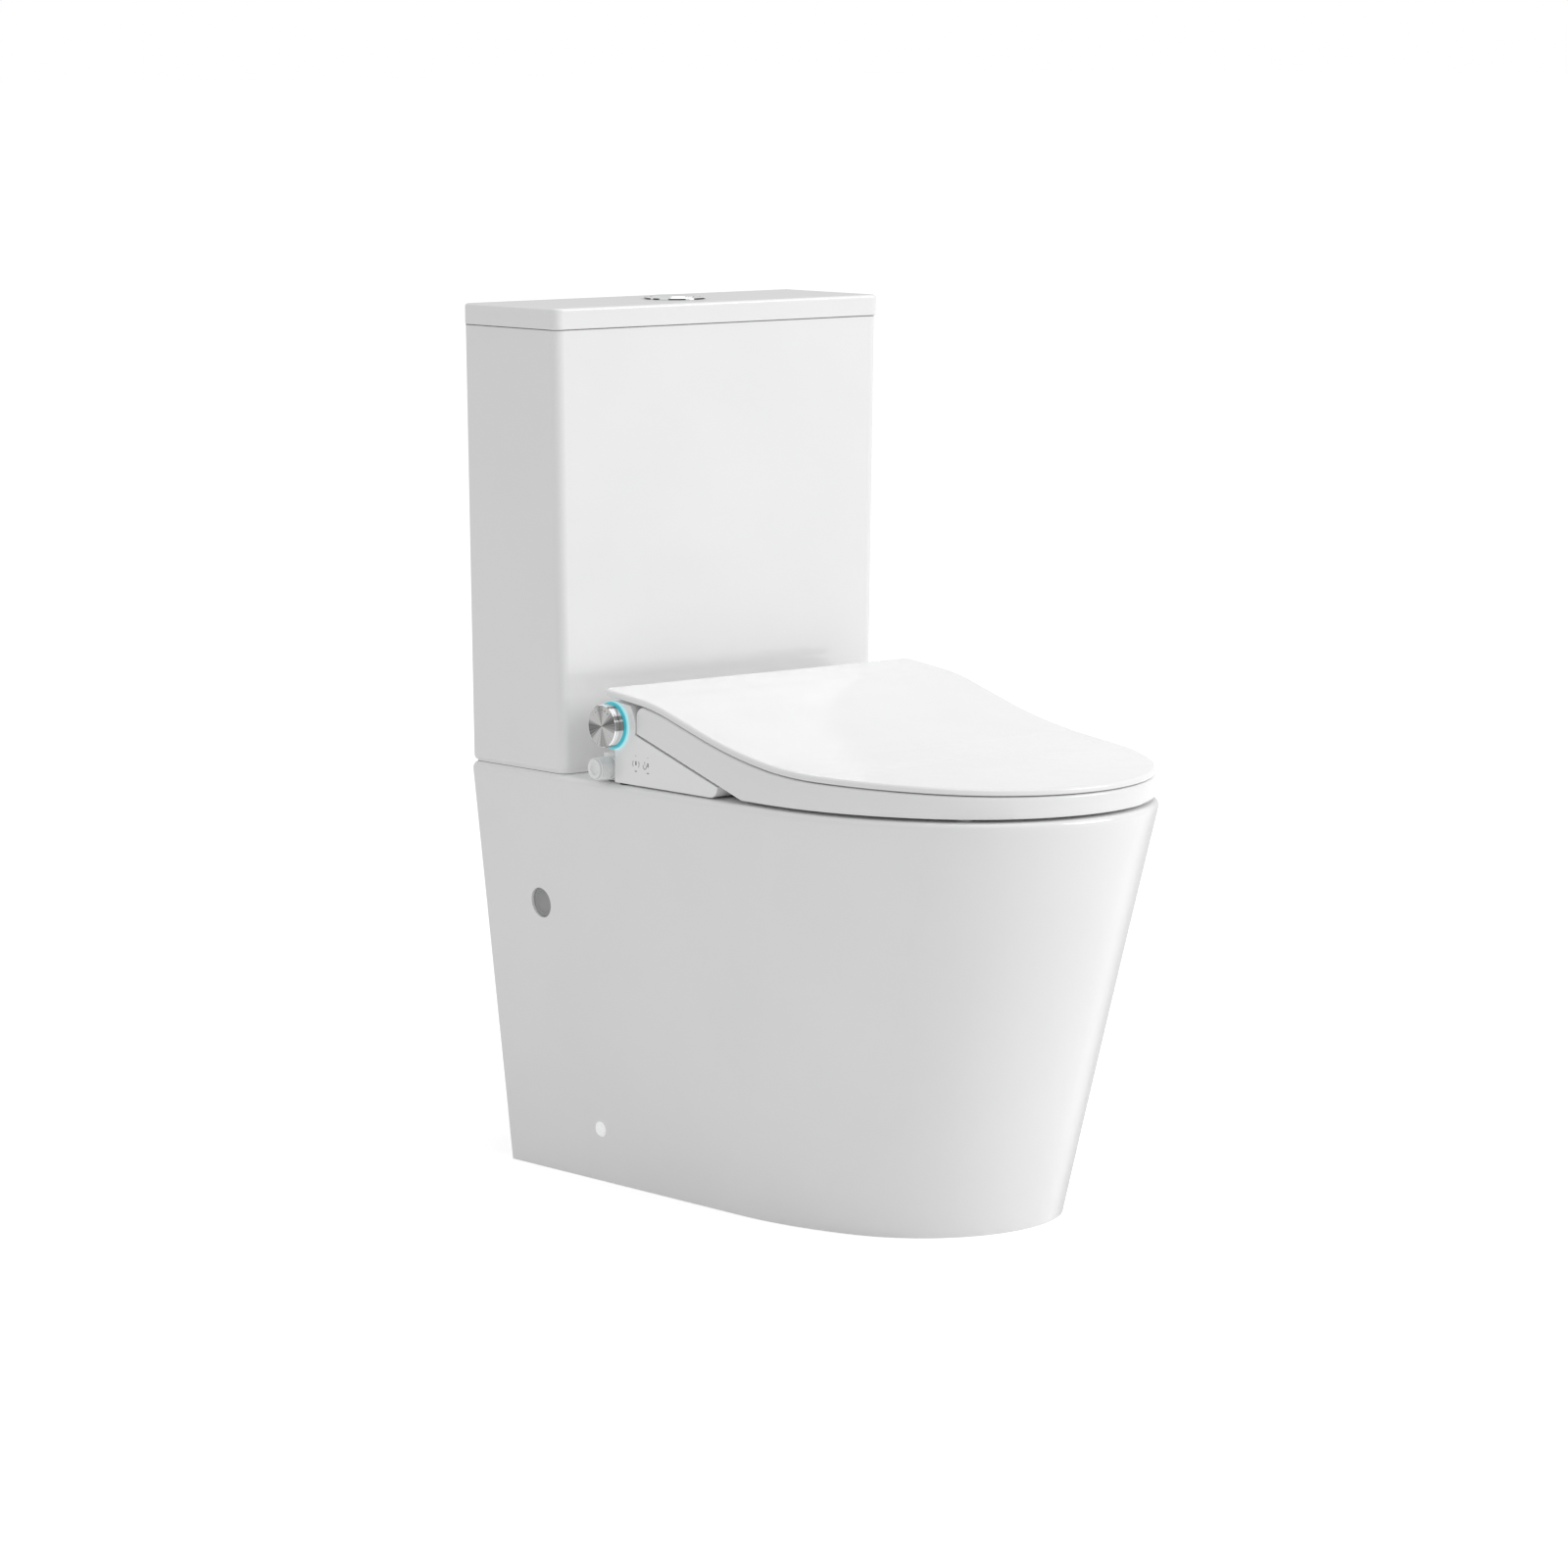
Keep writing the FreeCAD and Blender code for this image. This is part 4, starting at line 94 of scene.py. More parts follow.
class Value:
    """A number that varies over a surface, as one output of the shader."""

    def __init__(self, graph: "Graph", socket: bpy.types.NodeSocket) -> None:
        """Keeps the graph and the socket."""
        self.graph = graph
        self.socket = socket

    def _math(self, operation: str, first: Number, second: Number) -> "Value":
        """Adds one Math node and gives its result."""
        node = self.graph.node("ShaderNodeMath", {"operation": operation}, {0: first, 1: second})
        return Value(self.graph, node.outputs[0])

    def __add__(self, other: Number) -> "Value":
        """Sum with a number or value."""
        return self._math("ADD", self, other)

    def __radd__(self, other: Number) -> "Value":
        """Sum with a number on the left."""
        return self._math("ADD", other, self)

    def __sub__(self, other: Number) -> "Value":
        """Difference from a number or value."""
        return self._math("SUBTRACT", self, other)

    def __rsub__(self, other: Number) -> "Value":
        """Difference with the number on the left."""
        return self._math("SUBTRACT", other, self)

    def __mul__(self, other: Number) -> "Value":
        """Product with a number or value."""
        return self._math("MULTIPLY", self, other)

    def __rmul__(self, other: Number) -> "Value":
        """Product with a number on the left."""
        return self._math("MULTIPLY", other, self)

    def __pow__(self, other: Number) -> "Value":
        """Power of a number or value."""
        return self._math("POWER", self, other)

    def __or__(self, other: Number) -> "Value":
        """Larger of this and a number or value."""
        return self._math("MAXIMUM", self, other)


class Graph:
    """Node tree of a material or of the world."""

    def __init__(self, tree: bpy.types.NodeTree) -> None:
        """Keeps the tree and empties it."""
        self.tree = tree
        self.tree.nodes.clear()

    def node(
        self, kind: str, settings: Optional[dict] = None, inputs: Optional[dict] = None
    ) -> bpy.types.Node:
        """Adds any node.

        Args:
            kind: The node's type.
            settings: Its own settings, set first.
            inputs: Values or links of its sockets, by name or number.

        Returns:
            The new node.
        """
        made = self.tree.nodes.new(kind)
        for key, value in (settings or {}).items():
            setattr(made, key, value)
        for key, value in (inputs or {}).items():
            self._feed(made.inputs[key], value)
        return made

    def _feed(self, socket: bpy.types.NodeSocket, value: Any) -> None:
        """Sets or links one socket.

        Args:
            socket: The input.
            value: A number, colour, vector, socket or Value.
        """
        if isinstance(value, Value):
            self.tree.links.new(value.socket, socket)
        elif isinstance(value, bpy.types.NodeSocket):
            self.tree.links.new(value, socket)
        else:
            socket.default_value = value

    def seen(self) -> Value:
        """Tells where the camera, a reflection or a refraction looks.

        Returns:
            One for such a ray, else zero.
        """
        path = self.node("ShaderNodeLightPath").outputs
        looks = [Value(self, path["Is %s Ray" % kind]) for kind in ("Camera", "Glossy", "Transmission")]
        return functools.reduce(operator.or_, looks)

    def place(
        self, centre: Sequence[float] = ORIGIN, stretch: Sequence[float] = EVEN
    ) -> bpy.types.NodeSocket:
        """Object coordinates, centred and stretched.

        Args:
            centre: Point that becomes the pattern's origin.
            stretch: Scale along each axis.

        Returns:
            The coordinates' socket.
        """
        coords = self.node("ShaderNodeTexCoord").outputs["Object"]
        inputs = {0: coords, 1: tuple(centre)}
        moved = self.node("ShaderNodeVectorMath", {"operation": "SUBTRACT"}, inputs)
        inputs = {"Vector": moved.outputs[0], "Scale": tuple(stretch)}
        return self.node("ShaderNodeMapping", None, inputs).outputs[0]

    def noise(
        self, size: float, detail: float = 2.0, where: Optional[bpy.types.NodeSocket] = None
    ) -> Value:
        """Soft noise.

        Args:
            size: Size of its patches in metres.
            detail: Octaves of finer noise.
            where: Coordinates; the object's own where left out.

        Returns:
            The noise, from 0 to 1.
        """
        where = where or self.place()
        inputs = {"Vector": where, "Scale": 1.0 / size, "Detail": detail, "Roughness": 0.5}
        return Value(self, self.node("ShaderNodeTexNoise", None, inputs).outputs[0])

    def cells(self, size: float, output: str) -> bpy.types.NodeSocket:
        """One output of a cell pattern, whose cells have a size in metres."""
        inputs = {"Vector": self.place(), "Scale": 1.0 / size}
        return self.node("ShaderNodeTexVoronoi", None, inputs).outputs[output]

    def ease(
        self, value: Number, low: float, high: float, start: float = 0.0, end: float = 1.0
    ) -> Value:
        """Smooth step between two levels.

        Args:
            value: What is read.
            low: Level where the step starts.
            high: Level where it ends.
            start: Result at low.
            end: Result at high.

        Returns:
            The stepped value.
        """
        inputs = {0: value, 1: low, 2: high, 3: start, 4: end}
        node = self.node("ShaderNodeMapRange", {"interpolation_type": "SMOOTHSTEP"}, inputs)
        return Value(self, node.outputs[0])

    def tint(self, factor: Number, first: Any, second: Any) -> bpy.types.NodeSocket:
        """Mix of two colours, by the share of the second."""
        node = self.node("ShaderNodeMix", {"data_type": "RGBA"}, {0: factor, 6: first, 7: second})
        return node.outputs[2]

    def relief(
        self, height: Value, depth: float, under: Optional[bpy.types.NodeSocket] = None
    ) -> bpy.types.NodeSocket:
        """Bump from a height.

        Args:
            height: Height from 0 to 1.
            depth: Depth in metres of a height of 1.
            under: Normal that it lies on.

        Returns:
            The bumped normal.
        """
        inputs: dict = {"Height": height, "Distance": depth, "Strength": 1.0}
        if under is not None:
            inputs["Normal"] = under
        return self.node("ShaderNodeBump", None, inputs).outputs[0]


@dataclass(frozen=True)
class Axis:
    """An axis that a pattern runs round."""

    centre: Point
    right: Point
    up: Point

    def flat(self) -> tuple[float, ...]:
        """One for each direction across the axis, zero along it."""
        return tuple(abs(a) + abs(b) for a, b in zip(self.right, self.up))

    def towards(self, angle: float) -> tuple[float, ...]:
        """Direction at an angle in degrees, from right towards up."""
        turn = math.radians(angle)
        return tuple(math.cos(turn) * a + math.sin(turn) * b for a, b in zip(self.right, self.up))


class SurfaceGraph(Graph):
    """Node tree of one material, ending in a Principled shader."""

    def __init__(self, name: str) -> None:
        """Starts a material with its shader and output.

        Args:
            name: The material's name.
        """
        self.material = bpy.data.materials.new(name)
        self.material.use_nodes = True
        super().__init__(self.material.node_tree)
        self.shader = self.node("ShaderNodeBsdfPrincipled")
        self.output = self.node("ShaderNodeOutputMaterial", None, {0: self.shader.outputs[0]})

    def surface(self, **sockets: Any) -> None:
        """Feeds the Principled shader; underscores in names stand for spaces."""
        for name, value in sockets.items():
            self._feed(self.shader.inputs[name.replace("_", " ")], value)

    def end_in(self, socket: bpy.types.NodeSocket) -> None:
        """Makes another shader the material's surface."""
        self.tree.links.new(socket, self.output.inputs[0])

    def radius(self, axis: Axis) -> Value:
        """Distance from an axis.

        Args:
            axis: The axis.

        Returns:
            The distance in metres.
        """
        flat = self.place(axis.centre, axis.flat())
        length = self.node("ShaderNodeVectorMath", {"operation": "LENGTH"}, {0: flat})
        return Value(self, length.outputs["Value"])

    def outward(self, axis: Axis) -> bpy.types.NodeSocket:
        """Unit direction away from an axis."""
        flat = self.place(axis.centre, axis.flat())
        return self.node("ShaderNodeVectorMath", {"operation": "NORMALIZE"}, {0: flat}).outputs[0]

    def facing(self, axis: Axis, angle: float) -> Value:
        """How far a spot lies towards an angle round an axis.

        Args:
            axis: The axis.
            angle: The angle in degrees, from the axis's right towards its up.

        Returns:
            The cosine of the angle between the spot and that direction.
        """
        inputs = {0: self.outward(axis), 1: axis.towards(angle)}
        dot = self.node("ShaderNodeVectorMath", {"operation": "DOT_PRODUCT"}, inputs)
        return Value(self, dot.outputs["Value"])


@dataclass(frozen=True)
class Patches:
    """Soft patches, as of pooled tone, wear or dust."""

    size: float
    detail: float = 3.0
    low: float = 0.35
    high: float = 0.70
    stretch: Point = EVEN

    def on(self, graph: Graph, start: float = 0.0, end: float = 1.0) -> Value:
        """A number that goes from start outside the patches to end inside them."""
        noise = graph.noise(self.size, self.detail, graph.place(stretch=self.stretch))
        return graph.ease(noise, self.low, self.high, start, end)


@dataclass(frozen=True)
class Grain:
    """Fine relief of a surface."""

    size: float
    detail: float
    depth: float

    def on(
        self, graph: Graph, under: Optional[bpy.types.NodeSocket] = None
    ) -> bpy.types.NodeSocket:
        """Normal of the relief, over another normal where one is given."""
        return graph.relief(graph.noise(self.size, self.detail), self.depth, under)


@dataclass(frozen=True)
class Veil:
    """Matt surface in place of the sheen where a surface is seen edge on.

    Start and end are edge-on shares, 0 seen straight on and 1 along the surface.
    """

    colour: Colour
    start: float
    end: float
    most: float

    def over(self, graph: SurfaceGraph) -> None:
        """Mixes the matt surface into a material.

        Args:
            graph: The material's tree.
        """
        layer = graph.node("ShaderNodeLayerWeight", None, {"Blend": 0.5})
        edge_on = Value(graph, layer.outputs["Facing"])
        share = graph.ease(edge_on, self.start, self.end, 0.0, self.most)
        matt = graph.node("ShaderNodeBsdfDiffuse", None, {"Color": self.colour})
        inputs = {0: share, 1: graph.shader.outputs[0], 2: matt.outputs[0]}
        graph.end_in(graph.node("ShaderNodeMixShader", None, inputs).outputs[0])


@dataclass(frozen=True)
class ReflectionWedge:
    """Pair of painted reflection wedges on a turned disc, opposite each other."""

    angle: float
    start: float
    end: float
    depth: float = 1.0

    def on(self, graph: SurfaceGraph, axis: Axis) -> Value:
        """Share of the wedges' painted dark reflection round an axis."""
        return graph.ease(graph.facing(axis, self.angle) ** 2.0, self.start, self.end, 0.0, self.depth)


@dataclass(frozen=True)
class Finish:
    """A finish that makes its material once."""

    name: str

    def dress(self, graph: SurfaceGraph) -> None:
        """Builds the finish's nodes."""
        raise NotImplementedError

    def material(self) -> bpy.types.Material:
        """Gives the finish's material.

        Returns:
            The material, made on first use.
        """
        known = bpy.data.materials.get("finish_" + self.name)
        if known is None:
            graph = SurfaceGraph("finish_" + self.name)
            self.dress(graph)
            known = graph.material
        return known


@dataclass(frozen=True)
class GlazedCeramic(Finish):
    """White vitreous glaze with a faint ripple, pooled tone and a few pinholes."""

    colour: Colour = (0.868, 0.868, 0.868, 1.0)
    pooled: Colour = (0.852, 0.852, 0.853, 1.0)
    pools: Patches = Patches(0.16)
    speck: Colour = (0.70, 0.69, 0.66, 1.0)
    speck_gap: float = 0.030
    speck_rim: Pair = (0.010, 0.022)
    speck_share: float = 0.25
    roughness: float = 0.055
    wiped: Patches = Patches(0.075, 4.0, 0.40, 0.75)
    wiped_roughness: float = 0.05
    ripple: Grain = Grain(0.034, 1.0, 0.00010)
    peel: Grain = Grain(0.0045, 2.0, 0.000006)
    edge_on: Veil = Veil((0.73, 0.73, 0.73, 1.0), 0.62, 0.86, 0.92)

    def dress(self, graph: SurfaceGraph) -> None:
        """Builds the glaze: tone, gloss and ripple.

        Args:
            graph: The material's tree.
        """
        tone = graph.tint(self.pools.on(graph), self.colour, self.pooled)
        near = Value(graph, graph.cells(self.speck_gap, "Distance"))
        specks = 1.0 - graph.ease(near, *self.speck_rim)
        graph.surface(
            Base_Color=graph.tint(specks * self.speck_share, tone, self.speck),
            Roughness=self.wiped.on(graph, 0.0, self.wiped_roughness) + self.roughness,
            Normal=self.peel.on(graph, self.ripple.on(graph)),
            IOR=1.52,
            Coat_Weight=0.35,
            Coat_Roughness=0.03,
        )
        self.edge_on.over(graph)


@dataclass(frozen=True)
class GlossPlastic(Finish):
    """Gloss moulded plastic with a fine skin and faint flow marks."""

    colour: Colour = (0.878, 0.879, 0.879, 1.0)
    flow: Colour = (0.862, 0.863, 0.864, 1.0)
    flow_marks: Patches = Patches(0.09, 2.0, stretch=(1.0, 0.35, 1.0))
    roughness: float = 0.17
    rubbed: Patches = Patches(0.045, high=0.75)
    rubbed_roughness: float = 0.07
    skin: Grain = Grain(0.0011, 2.0, 0.0000035)
    sink: Grain = Grain(0.055, 0.0, 0.00005)
    edge_on: Veil = Veil((0.68, 0.68, 0.68, 1.0), 0.94, 1.0, 0.85)

    def dress(self, graph: SurfaceGraph) -> None:
        """Builds the plastic: flow marks, gloss and moulded skin.

        Args:
            graph: The material's tree.
        """
        graph.surface(
            Base_Color=graph.tint(self.flow_marks.on(graph), self.colour, self.flow),
            Roughness=self.rubbed.on(graph, 0.0, self.rubbed_roughness) + self.roughness,
            Normal=self.sink.on(graph, self.skin.on(graph)),
            IOR=1.49,
            Coat_Weight=0.12,
            Coat_Roughness=0.08,
        )
        self.edge_on.over(graph)


@dataclass(frozen=True)
class MattPlastic(Finish):
    """Matt moulded plastic with a spark-eroded grain."""

    colour: Colour
    worn: Colour
    roughness: float = 0.46
    wear: Patches = Patches(0.018)
    rubbed: Patches = Patches(0.012, low=0.45, high=0.75)
    rubbed_roughness: float = -0.10
    grain: Grain = Grain(0.0009, 3.0, 0.00002)

    def dress(self, graph: SurfaceGraph) -> None:
        """Builds the plastic: tone, grain and rubbed patches.

        Args:
            graph: The material's tree.
        """
        graph.surface(
            Base_Color=graph.tint(self.wear.on(graph), self.colour, self.worn),
            Roughness=self.rubbed.on(graph, 0.0, self.rubbed_roughness) + self.roughness,
            Normal=self.grain.on(graph),
            IOR=1.48,
        )


@dataclass(frozen=True)
class Chrome(Finish):
    """Bright plate with faint smears, which loses its sheen edge on if it has a veil."""

    colour: Colour = (0.70, 0.705, 0.71, 1.0)
    smeared: Colour = (0.63, 0.635, 0.64, 1.0)
    smears: Patches = Patches(0.010, 4.0, 0.42, 0.72)
    roughness: float = 0.045
    smear_roughness: float = 0.06
    waves: Grain = Grain(0.006, 1.0, 0.000006)
    edge_on: Optional[Veil] = None

    def tone(self, graph: SurfaceGraph, smears: Value) -> bpy.types.NodeSocket:
        """Colour of the plate under its smears."""
        return graph.tint(smears, self.colour, self.smeared)

    def dress(self, graph: SurfaceGraph) -> None:
        """Builds the plate: tone, smears and polish waves.

        Args:
            graph: The material's tree.
        """
        smears = self.smears.on(graph)
        graph.surface(
            Base_Color=self.tone(graph, smears),
            Metallic=1.0,
            Roughness=smears * self.smear_roughness + self.roughness,
            Normal=self.waves.on(graph),
        )
        if self.edge_on is not None:
            self.edge_on.over(graph)


@dataclass(frozen=True, kw_only=True)
class ReflectionPaintedChrome(Chrome):
    """Bright plate whose rim carries painted reflections: dark streaks in its colour, as a room with dark
    walls would reflect.
    """

    axis: Axis
    rim: float
    rim_blur: float = 0.0004
    streaks: tuple[Pair, ...]
    streak_blur: float = 2.5
    least_half: float = 0.1
    # tone of the painted reflections of dark walls on the rim
    dark: Colour = (0.060, 0.060, 0.062, 1.0)

    def tone(self, graph: SurfaceGraph, smears: Value) -> bpy.types.NodeSocket:
        """Colour of the plate with the painted reflection streaks on its rim.

        Args:
            graph: The material's tree.
            smears: Share of the smears; not used here.

        Returns:
            The colour's socket.
        """
        marks = [self._painted_reflection(graph, angle, half) for angle, half in self.streaks]
        streak = functools.reduce(operator.or_, marks)
        outside = graph.ease(graph.radius(self.axis), self.rim, self.rim + self.rim_blur)
        return graph.tint(streak * outside, self.colour, self.dark)

    def _painted_reflection(self, graph: SurfaceGraph, angle: float, half: float) -> Value:
        """One painted dark reflection streak.

        Args:
            graph: The tree it goes into.
            angle: Where its middle lies, in degrees.
            half: Half of its width, in degrees.

        Returns:
            One inside the streak, zero outside it.
        """
        start = math.cos(math.radians(half + self.streak_blur))
        full = math.cos(math.radians(max(half - self.streak_blur, self.least_half)))
        return graph.ease(graph.facing(self.axis, angle), start, full)


@dataclass(frozen=True)
class TurnedMetal(Finish):
    """Disc turned on a lathe: fine rings in its tone, with the wedges and rays that its rings would reflect
    painted into its colour.
    """

    axis: Axis
    colour: Colour = (0.500, 0.497, 0.495, 1.0)
    dull: Colour = (0.400, 0.397, 0.395, 1.0)
    # tone of the painted dark reflections
    dark: Colour = (0.110, 0.109, 0.108, 1.0)
    pitch: float = 0.00055
    ring_tone: Pair = (0.3, 0.7)
    ring_roughness: float = 0.10
    roughness: float = 0.22
    broad: ReflectionWedge = ReflectionWedge(15.0, 0.62, 1.04)
    thin: ReflectionWedge = ReflectionWedge(100.0, 0.84, 1.02, 0.55)
    ray_width: float = 0.08
    ray_tone: Pair = (0.30, 0.70)
    ray_share: float = 0.22

    def dress(self, graph: SurfaceGraph) -> None:
        """Builds the disc: rings, and painted reflection rays and wedges round its axis.

        Args:
            graph: The material's tree.
        """
        along = graph.node("ShaderNodeCombineXYZ", None, {0: graph.radius(self.axis)}).outputs[0]
        rings = graph.noise(self.pitch, detail=3.0, where=along)
        rays = graph.noise(self.ray_width, where=graph.outward(self.axis))
        rays = graph.ease(rays, *self.ray_tone, -self.ray_share, self.ray_share)
        # Painted reflections: dark wedges and radial rays in the colour round the axis.
        wedges = self.broad.on(graph, self.axis) | self.thin.on(graph, self.axis)
        metal = graph.tint(graph.ease(rings, *self.ring_tone), self.colour, self.dull)
        graph.surface(
            Base_Color=graph.tint(wedges + rays, metal, self.dark),
            Metallic=1.0,
            Roughness=rings * self.ring_roughness + self.roughness,
        )


@dataclass(frozen=True)
class LightDiffuser(Finish):
    """Ring lit from behind, deep in its middle and pale at its outer edge."""

    axis: Axis
    glow: Colour = (0.030, 0.270, 0.325, 1.0)
    pale: Colour = (0.230, 0.520, 0.550, 1.0)
    body: Colour = (0.020, 0.220, 0.260, 1.0)
    milky: Colour = (0.110, 0.320, 0.350, 1.0)
    edge: Pair = (0.0212, 0.0226)
    cloud_size: float = 0.004
    cloud_share: float = 0.2
    roughness: float = 0.35

    def dress(self, graph: SurfaceGraph) -> None:
        """Builds the ring: a pale edge round a deeper middle.

        Args:
            graph: The material's tree.
        """
        edge = graph.ease(graph.radius(self.axis), *self.edge)
        cloud = graph.noise(self.cloud_size) * self.cloud_share
        graph.surface(
            Base_Color=graph.tint(edge, self.body, self.milky),
            Roughness=cloud + self.roughness,
            Emission_Color=graph.tint(edge + cloud, self.glow, self.pale),
            Emission_Strength=1.0,
        )


@dataclass(frozen=True, kw_only=True)
class SpillPaintedPlastic(GlossPlastic):
    """Gloss plastic with the light that a glowing ring would spill onto it painted on as a glow."""

    axis: Axis
    painted_spill: Colour = (0.035, 0.135, 0.150, 1.0)
    spill_reach: Pair = (0.0215, 0.0285)
    spill_depth: Pair = (0.0005, 0.0020)

    def dress(self, graph: SurfaceGraph) -> None:
        """Builds the plastic, then paints the ring's spilt light round it as a glow.

        Args:
            graph: The material's tree.
        """
        super().dress(graph)
        near = 1.0 - graph.ease(graph.radius(self.axis), *self.spill_reach)
        split = graph.node("ShaderNodeSeparateXYZ", None, {0: graph.place(self.axis.centre)})
        beside = 1.0 - graph.ease(Value(graph, split.outputs[0]), *self.spill_depth)
        # Painted light: emission round the ring standing in for its spilt light.
        graph.surface(
            Emission_Color=graph.tint(near ** 2.0 * beside, BLACK, self.painted_spill),
            Emission_Strength=1.0,
        )


@dataclass(frozen=True)
class ClearPlastic(Finish):
    """Milky translucent plastic with moulding clouds."""

    colour: Colour = (0.860, 0.864, 0.866, 1.0)
    cloud: Colour = (0.800, 0.806, 0.810, 1.0)
    through: float = 0.0
    # painted glow standing in for light soaking through the walls
    glow: float = 0.05
    clouds: Patches = Patches(0.006)
    roughness: float = 0.26
    cloud_roughness: float = 0.10
    grain: Grain = Grain(0.0012, 2.0, 0.00001)

    def tone(self, graph: SurfaceGraph, clouds: Value) -> bpy.types.NodeSocket:
        """Colour of the plastic under its clouds."""
        return graph.tint(clouds, self.colour, self.cloud)

    def dress(self, graph: SurfaceGraph) -> None:
        """Builds the plastic: clouds, and a painted glow in its own tone in place of the light that soaks
        through its walls.

        Args:
            graph: The material's tree.
        """
        clouds = self.clouds.on(graph)
        tone = self.tone(graph, clouds)
        graph.surface(
            Base_Color=tone,
            Roughness=clouds * self.cloud_roughness + self.roughness,
            Normal=self.grain.on(graph),
            IOR=1.46,
            Transmission_Weight=self.through,
            Emission_Color=tone,
            Emission_Strength=self.glow,
        )


@dataclass(frozen=True, kw_only=True)
class RootShadedPlastic(ClearPlastic):
    """Milky plastic of a thread, with painted shade down in its roots."""

    axis: Axis
    root: float = 0.00935
    under_root: Pair = (-0.0004, -0.0001)
    over_root: Pair = (0.0001, 0.0006)
    # tone of the painted shade in the roots
    deep: Colour = (0.640, 0.652, 0.656, 1.0)

    def tone(self, graph: SurfaceGraph, clouds: Value) -> bpy.types.NodeSocket:
        """Colour of the plastic, with painted shade in its thread's roots.

        Args:
            graph: The tree it goes into.
            clouds: Share of the clouds' colour.

        Returns:
            The colour's socket.
        """
        radius = graph.radius(self.axis)
        outside = graph.ease(radius, *(self.root + step for step in self.under_root))
        low = 1.0 - graph.ease(radius, *(self.root + step for step in self.over_root))
        return graph.tint(outside * low, super().tone(graph, clouds), self.deep)


@dataclass(frozen=True)
class Rubber(Finish):
    """Moulded rubber with a dusty bloom."""

    colour: Colour
    bloom: Colour
    dust: Patches = Patches(0.007, 4.0, 0.40, 0.75)
    roughness: float = 0.68
    dust_roughness: float = 0.12
    grain: Grain = Grain(0.0008, 2.0, 0.00002)

    def dress(self, graph: SurfaceGraph) -> None:
        """Builds the rubber: bloom and grain.

        Args:
            graph: The material's tree.
        """
        dust = self.dust.on(graph)
        graph.surface(
            Base_Color=graph.tint(dust, self.colour, self.bloom),
            Roughness=dust * self.dust_roughness + self.roughness,
            Normal=self.grain.on(graph),
        )


@dataclass(frozen=True)
class DrawnSteel(Finish):
    """Stainless steel with fine drawing lines."""

    colour: Colour = (0.56, 0.57, 0.58, 1.0)
    dull: Colour = (0.44, 0.45, 0.46, 1.0)
    tarnish: Patches = Patches(0.012, low=0.40)
    line: float = 0.0014
    line_stretch: Point = (1.0, 1.0, 0.04)
    line_depth: float = 0.000008
    line_roughness: float = 0.16
    roughness: float = 0.20

    def dress(self, graph: SurfaceGraph) -> None:
        """Builds the steel: lines along the piece and tarnish.

        Args:
            graph: The material's tree.
        """
        lines = graph.noise(self.line, detail=3.0, where=graph.place(stretch=self.line_stretch))
        graph.surface(
            Base_Color=graph.tint(self.tarnish.on(graph), self.colour, self.dull),
            Metallic=1.0,
            Roughness=lines * self.line_roughness + self.roughness,
            Normal=graph.relief(lines, self.line_depth),
        )


@dataclass(frozen=True)
class ZincSteel(Finish):
    """Zinc-plated sheet with a spangle of crystals."""

    colour: Colour = (0.60, 0.62, 0.64, 1.0)
    crystal: Colour = (0.47, 0.49, 0.52, 1.0)
    crystal_size: float = 0.007
    crystal_roughness: float = 0.18
    roughness: float = 0.28
    grain: Grain = Grain(0.002, 2.0, 0.00001)

    def dress(self, graph: SurfaceGraph) -> None:
        """Builds the sheet: crystals of different tone.

        Args:
            graph: The material's tree.
        """
        cells = graph.cells(self.crystal_size, "Color")
        shade = Value(graph, graph.node("ShaderNodeSeparateColor", None, {0: cells}).outputs[0])
        graph.surface(
            Base_Color=graph.tint(shade, self.colour, self.crystal),
            Metallic=1.0,
            Roughness=shade * self.crystal_roughness + self.roughness,
            Normal=self.grain.on(graph),
        )


@dataclass(frozen=True)
class PrintedInk(Finish):
    """Thin grey print with slightly uneven cover."""

    colour: Colour = (0.115, 0.115, 0.120, 1.0)
    thin: Colour = (0.20, 0.20, 0.205, 1.0)
    cover: Patches = Patches(0.0009, low=0.45, high=0.75)
    tooth: float = 0.000004
    roughness: float = 0.45
    thin_roughness: float = 0.1

    def dress(self, graph: SurfaceGraph) -> None:
        """Builds the ink: cover and tooth.

        Args:
            graph: The material's tree.
        """
        cover = self.cover.on(graph)
        graph.surface(
            Base_Color=graph.tint(cover, self.colour, self.thin),
            Roughness=cover * self.thin_roughness + self.roughness,
            Normal=graph.relief(cover, self.tooth),
        )


